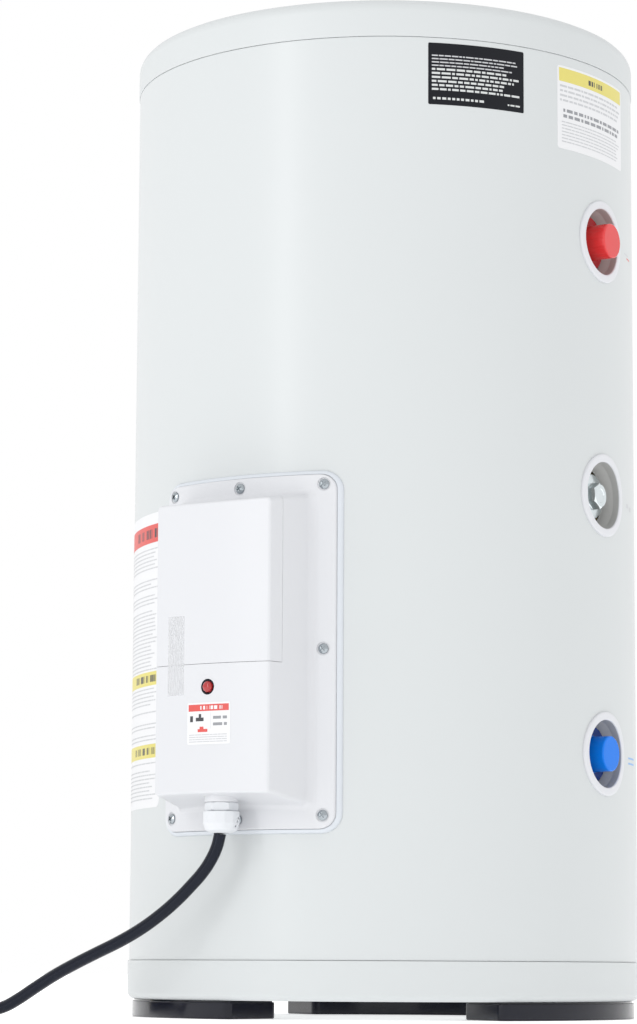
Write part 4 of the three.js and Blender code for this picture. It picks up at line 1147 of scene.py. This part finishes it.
def installer_sticker():
    """The white sticker by the top of the ports, with a yellow head and rows of unreadable text."""
    chance = random.Random(5)
    low, high = 698, 772
    azimuth, half = jacket_label("sticker_installer", 73.6, 101.3, low, high, 3, "paper")
    marks = [(-half + 2, high - 14, half - 2, high - 2, "ink_yellow")]
    marks += words(-12, 16, high - 10.5, 4.5, "ink_dark", chance, 14)
    for row in range(4):
        end = half - chance.uniform(3, 12)
        marks += words(-half + 3, end, high - 19 - 4.2 * row, 1.8, "ink_light", chance)
    for row in range(2):
        marks += words(-half + 7, half - 7, low + 33 - 5 * row, 2.8, "ink_grey", chance)
    for row in range(7):
        end = half - chance.uniform(4, 14)
        marks += words(-half + 5, end, low + 23.5 - 2.9 * row, 1.0, "ink_light", chance)
    looks = ["ink_yellow", "ink_dark", "ink_grey", "ink_light"]
    prints("print_installer", azimuth, RADIUS + PRINT_LIFT, marks, looks)


def tall_label():
    """The tall label left of the box: a red band, two yellow bands and rows of unreadable text."""
    chance = random.Random(7)
    low, high = 130, 387
    azimuth, half = jacket_label("label_tall", -73.0, -27.0, low, high, 6, "paper")
    bands = [(high - 26, high - 10, "ink_red"), (low + 106, low + 118, "ink_yellow"),
             (low + 43, low + 55, "ink_yellow")]
    marks = []
    for bottom, top, look in bands:
        marks.append((-half + 3, bottom, half - 1.5, top, look))
        tall = (top - bottom) / 2
        marks += words(half - 62, half - 8, bottom + tall / 2, tall, "ink_dark", chance, 20)
    z = high - 32
    while z > low + 6:
        clear = all(z + 3 < bottom or z > top + 1 for bottom, top, _ in bands)
        if clear and chance.random() < 0.86:
            end = half - chance.uniform(3, 20)
            marks += words(-half + 5, end, z, 1.1, "ink_light", chance, 11)
        z -= 3.4
    looks = ["ink_red", "ink_yellow", "ink_dark", "ink_light"]
    prints("print_tall", azimuth, RADIUS + PRINT_LIFT, marks, looks)


def box_sticker():
    """The small sticker under the button: a red band, a picture of plain shapes and pale lines."""
    chance = random.Random(11)
    radius = BOX_FRONT_RADIUS
    azimuth = math.degrees(1 * MM / radius)
    half, low, high = 21.5, 176, 210.7
    label("sticker_box", azimuth, radius, half, low, high, 1.5, "paper")
    marks = [(-half + 1.3, high - 7.2, half - 1.3, high - 1.6, "ink_red")]
    marks += words(-8, 14, high - 5.9, 3.0, "paper", chance, 12)
    marks += [(-half + 3, high - 16, -half + 6, high - 11, "ink_dark"),
              (-half + 9, high - 15.5, -half + 17, high - 12.5, "ink_dark"),
              (-half + 12, high - 12.5, -half + 14.5, high - 9.5, "ink_dark"),
              (-half + 11, high - 24.5, -half + 21, high - 22, "ink_red"),
              (-half + 13, high - 22, -half + 17, high - 20, "ink_red"),
              (2.4, high - 22, 2.6, high - 8.5, "ink_light")]
    for row in range(2):
        marks += words(5, 18.5, high - 14 - 5.4 * row, 2.4, "ink_grey", chance, 13)
    for row in range(4):
        marks += words(-half + 2, half - 3, low + 7.6 - 1.9 * row, 0.7, "ink_light", chance)
    looks = ["ink_red", "paper", "ink_dark", "ink_light", "ink_grey"]
    prints("print_box", azimuth, radius + PRINT_LIFT, marks, looks)


def box_tape():
    """A strip of clear tape across the seam of the access cover, which it comes away with."""
    azimuth = -math.degrees(34 * MM / BOX_FRONT_RADIUS)
    label("tape", azimuth, BOX_FRONT_RADIUS, 9, 217.6, 283.9, 0.3, "tape", "access_cover", 0.12)


def port_marks():
    """The small marks on the jacket beside each port, as plain strokes."""
    strokes = {
        "hot": [(0, 3, 16, 4, "ink_light"), (9, 0, 22, 1.2, "ink_red")],
        "anode": [(0, -1, 7, 2.6, "ink_light"), (11, -3, 18, 1, "ink_light")],
        "cold": [(0, 1.6, 24, 3.2, "ink_blue"), (0, -3, 24, -1.4, "ink_blue")],
    }
    for port, marks in strokes.items():
        looks = sorted({look for *_, look in marks})
        base = PORTS[port] - 3 * MM
        prints(f"mark_{port}", PORT_AZIMUTH + 13.5, RADIUS + MARK_LIFT, marks, looks, base)


# ------------------------------------------------------------------ making the pieces
jacket()
end_shell("cover_shell", "top_cover", COVER_RADIUS, TOP, HIGH_SEAM, 1, 12 * MM)
end_shell("pan_shell", "base_pan", PAN_RADIUS, PAN_BOTTOM, LOW_SEAM, -1, 6 * MM)
for foot_name, foot_azimuth in FEET.items():
    foot(foot_name, foot_azimuth)
for port in PORTS:
    port_trim(port)
port_cap("hot", "red", 12)
port_cap("cold", "blue", 0)
nipple("hot")
nipple("cold")
anode_plug()
control_housing()
access_cover()
housing_gasket()
for screw_name, screw_azimuth in SCREWS.items():
    housing_screw(screw_name, screw_azimuth)
gland_body()
gland_nut()
reset_button()
button_gap_shade_ring()
tie = coil_tie()
plug_pieces = plug()
rating_plate()
installer_sticker()
tall_label()
box_sticker()
box_tape()
port_marks()


# ------------------------------------------------------------------ studio
def floor():
    """A plain pale floor."""
    half = 12
    points = [(-half, -half, 0), (half, -half, 0), (half, half, 0), (-half, half, 0)]
    LOOKS["floor"] = surface("floor", (0.93, 0.93, 0.93), 0.995, (0.6, 0.7), 300, 0.05, 2,
                             Emission_Color=(1, 1, 1, 1), Emission_Strength=0.45)
    made = new_object("floor", points, [(0, 1, 2, 3)], "floor")


def key_light():
    """A tall soft light that stands in front of the tank and looks at the lower half of its axis."""
    data = bpy.data.lights.new("key", "AREA")
    data.shape = "RECTANGLE"
    data.size, data.size_y = 0.4, 2.4
    data.energy = 15
    made = add_object("key", data)
    made.location = facing(-12, 1.3) @ Vector((0, 0, 3.0))
    aim = Vector((AXIS_X, AXIS_Y, 0.35)) - made.location
    made.rotation_euler = aim.to_track_quat("-Z", "Y").to_euler()


def studio():
    """White surroundings and one soft light at the front left."""
    world = bpy.data.worlds.new("studio")
    world.use_nodes = True
    background = world.node_tree.nodes["Background"]
    background.inputs["Color"].default_value = (1, 1, 1, 1)
    background.inputs["Strength"].default_value = 1.0
    bpy.context.scene.world = world
    bpy.context.scene.view_settings.view_transform = "Standard"
    key_light()


floor()
studio()
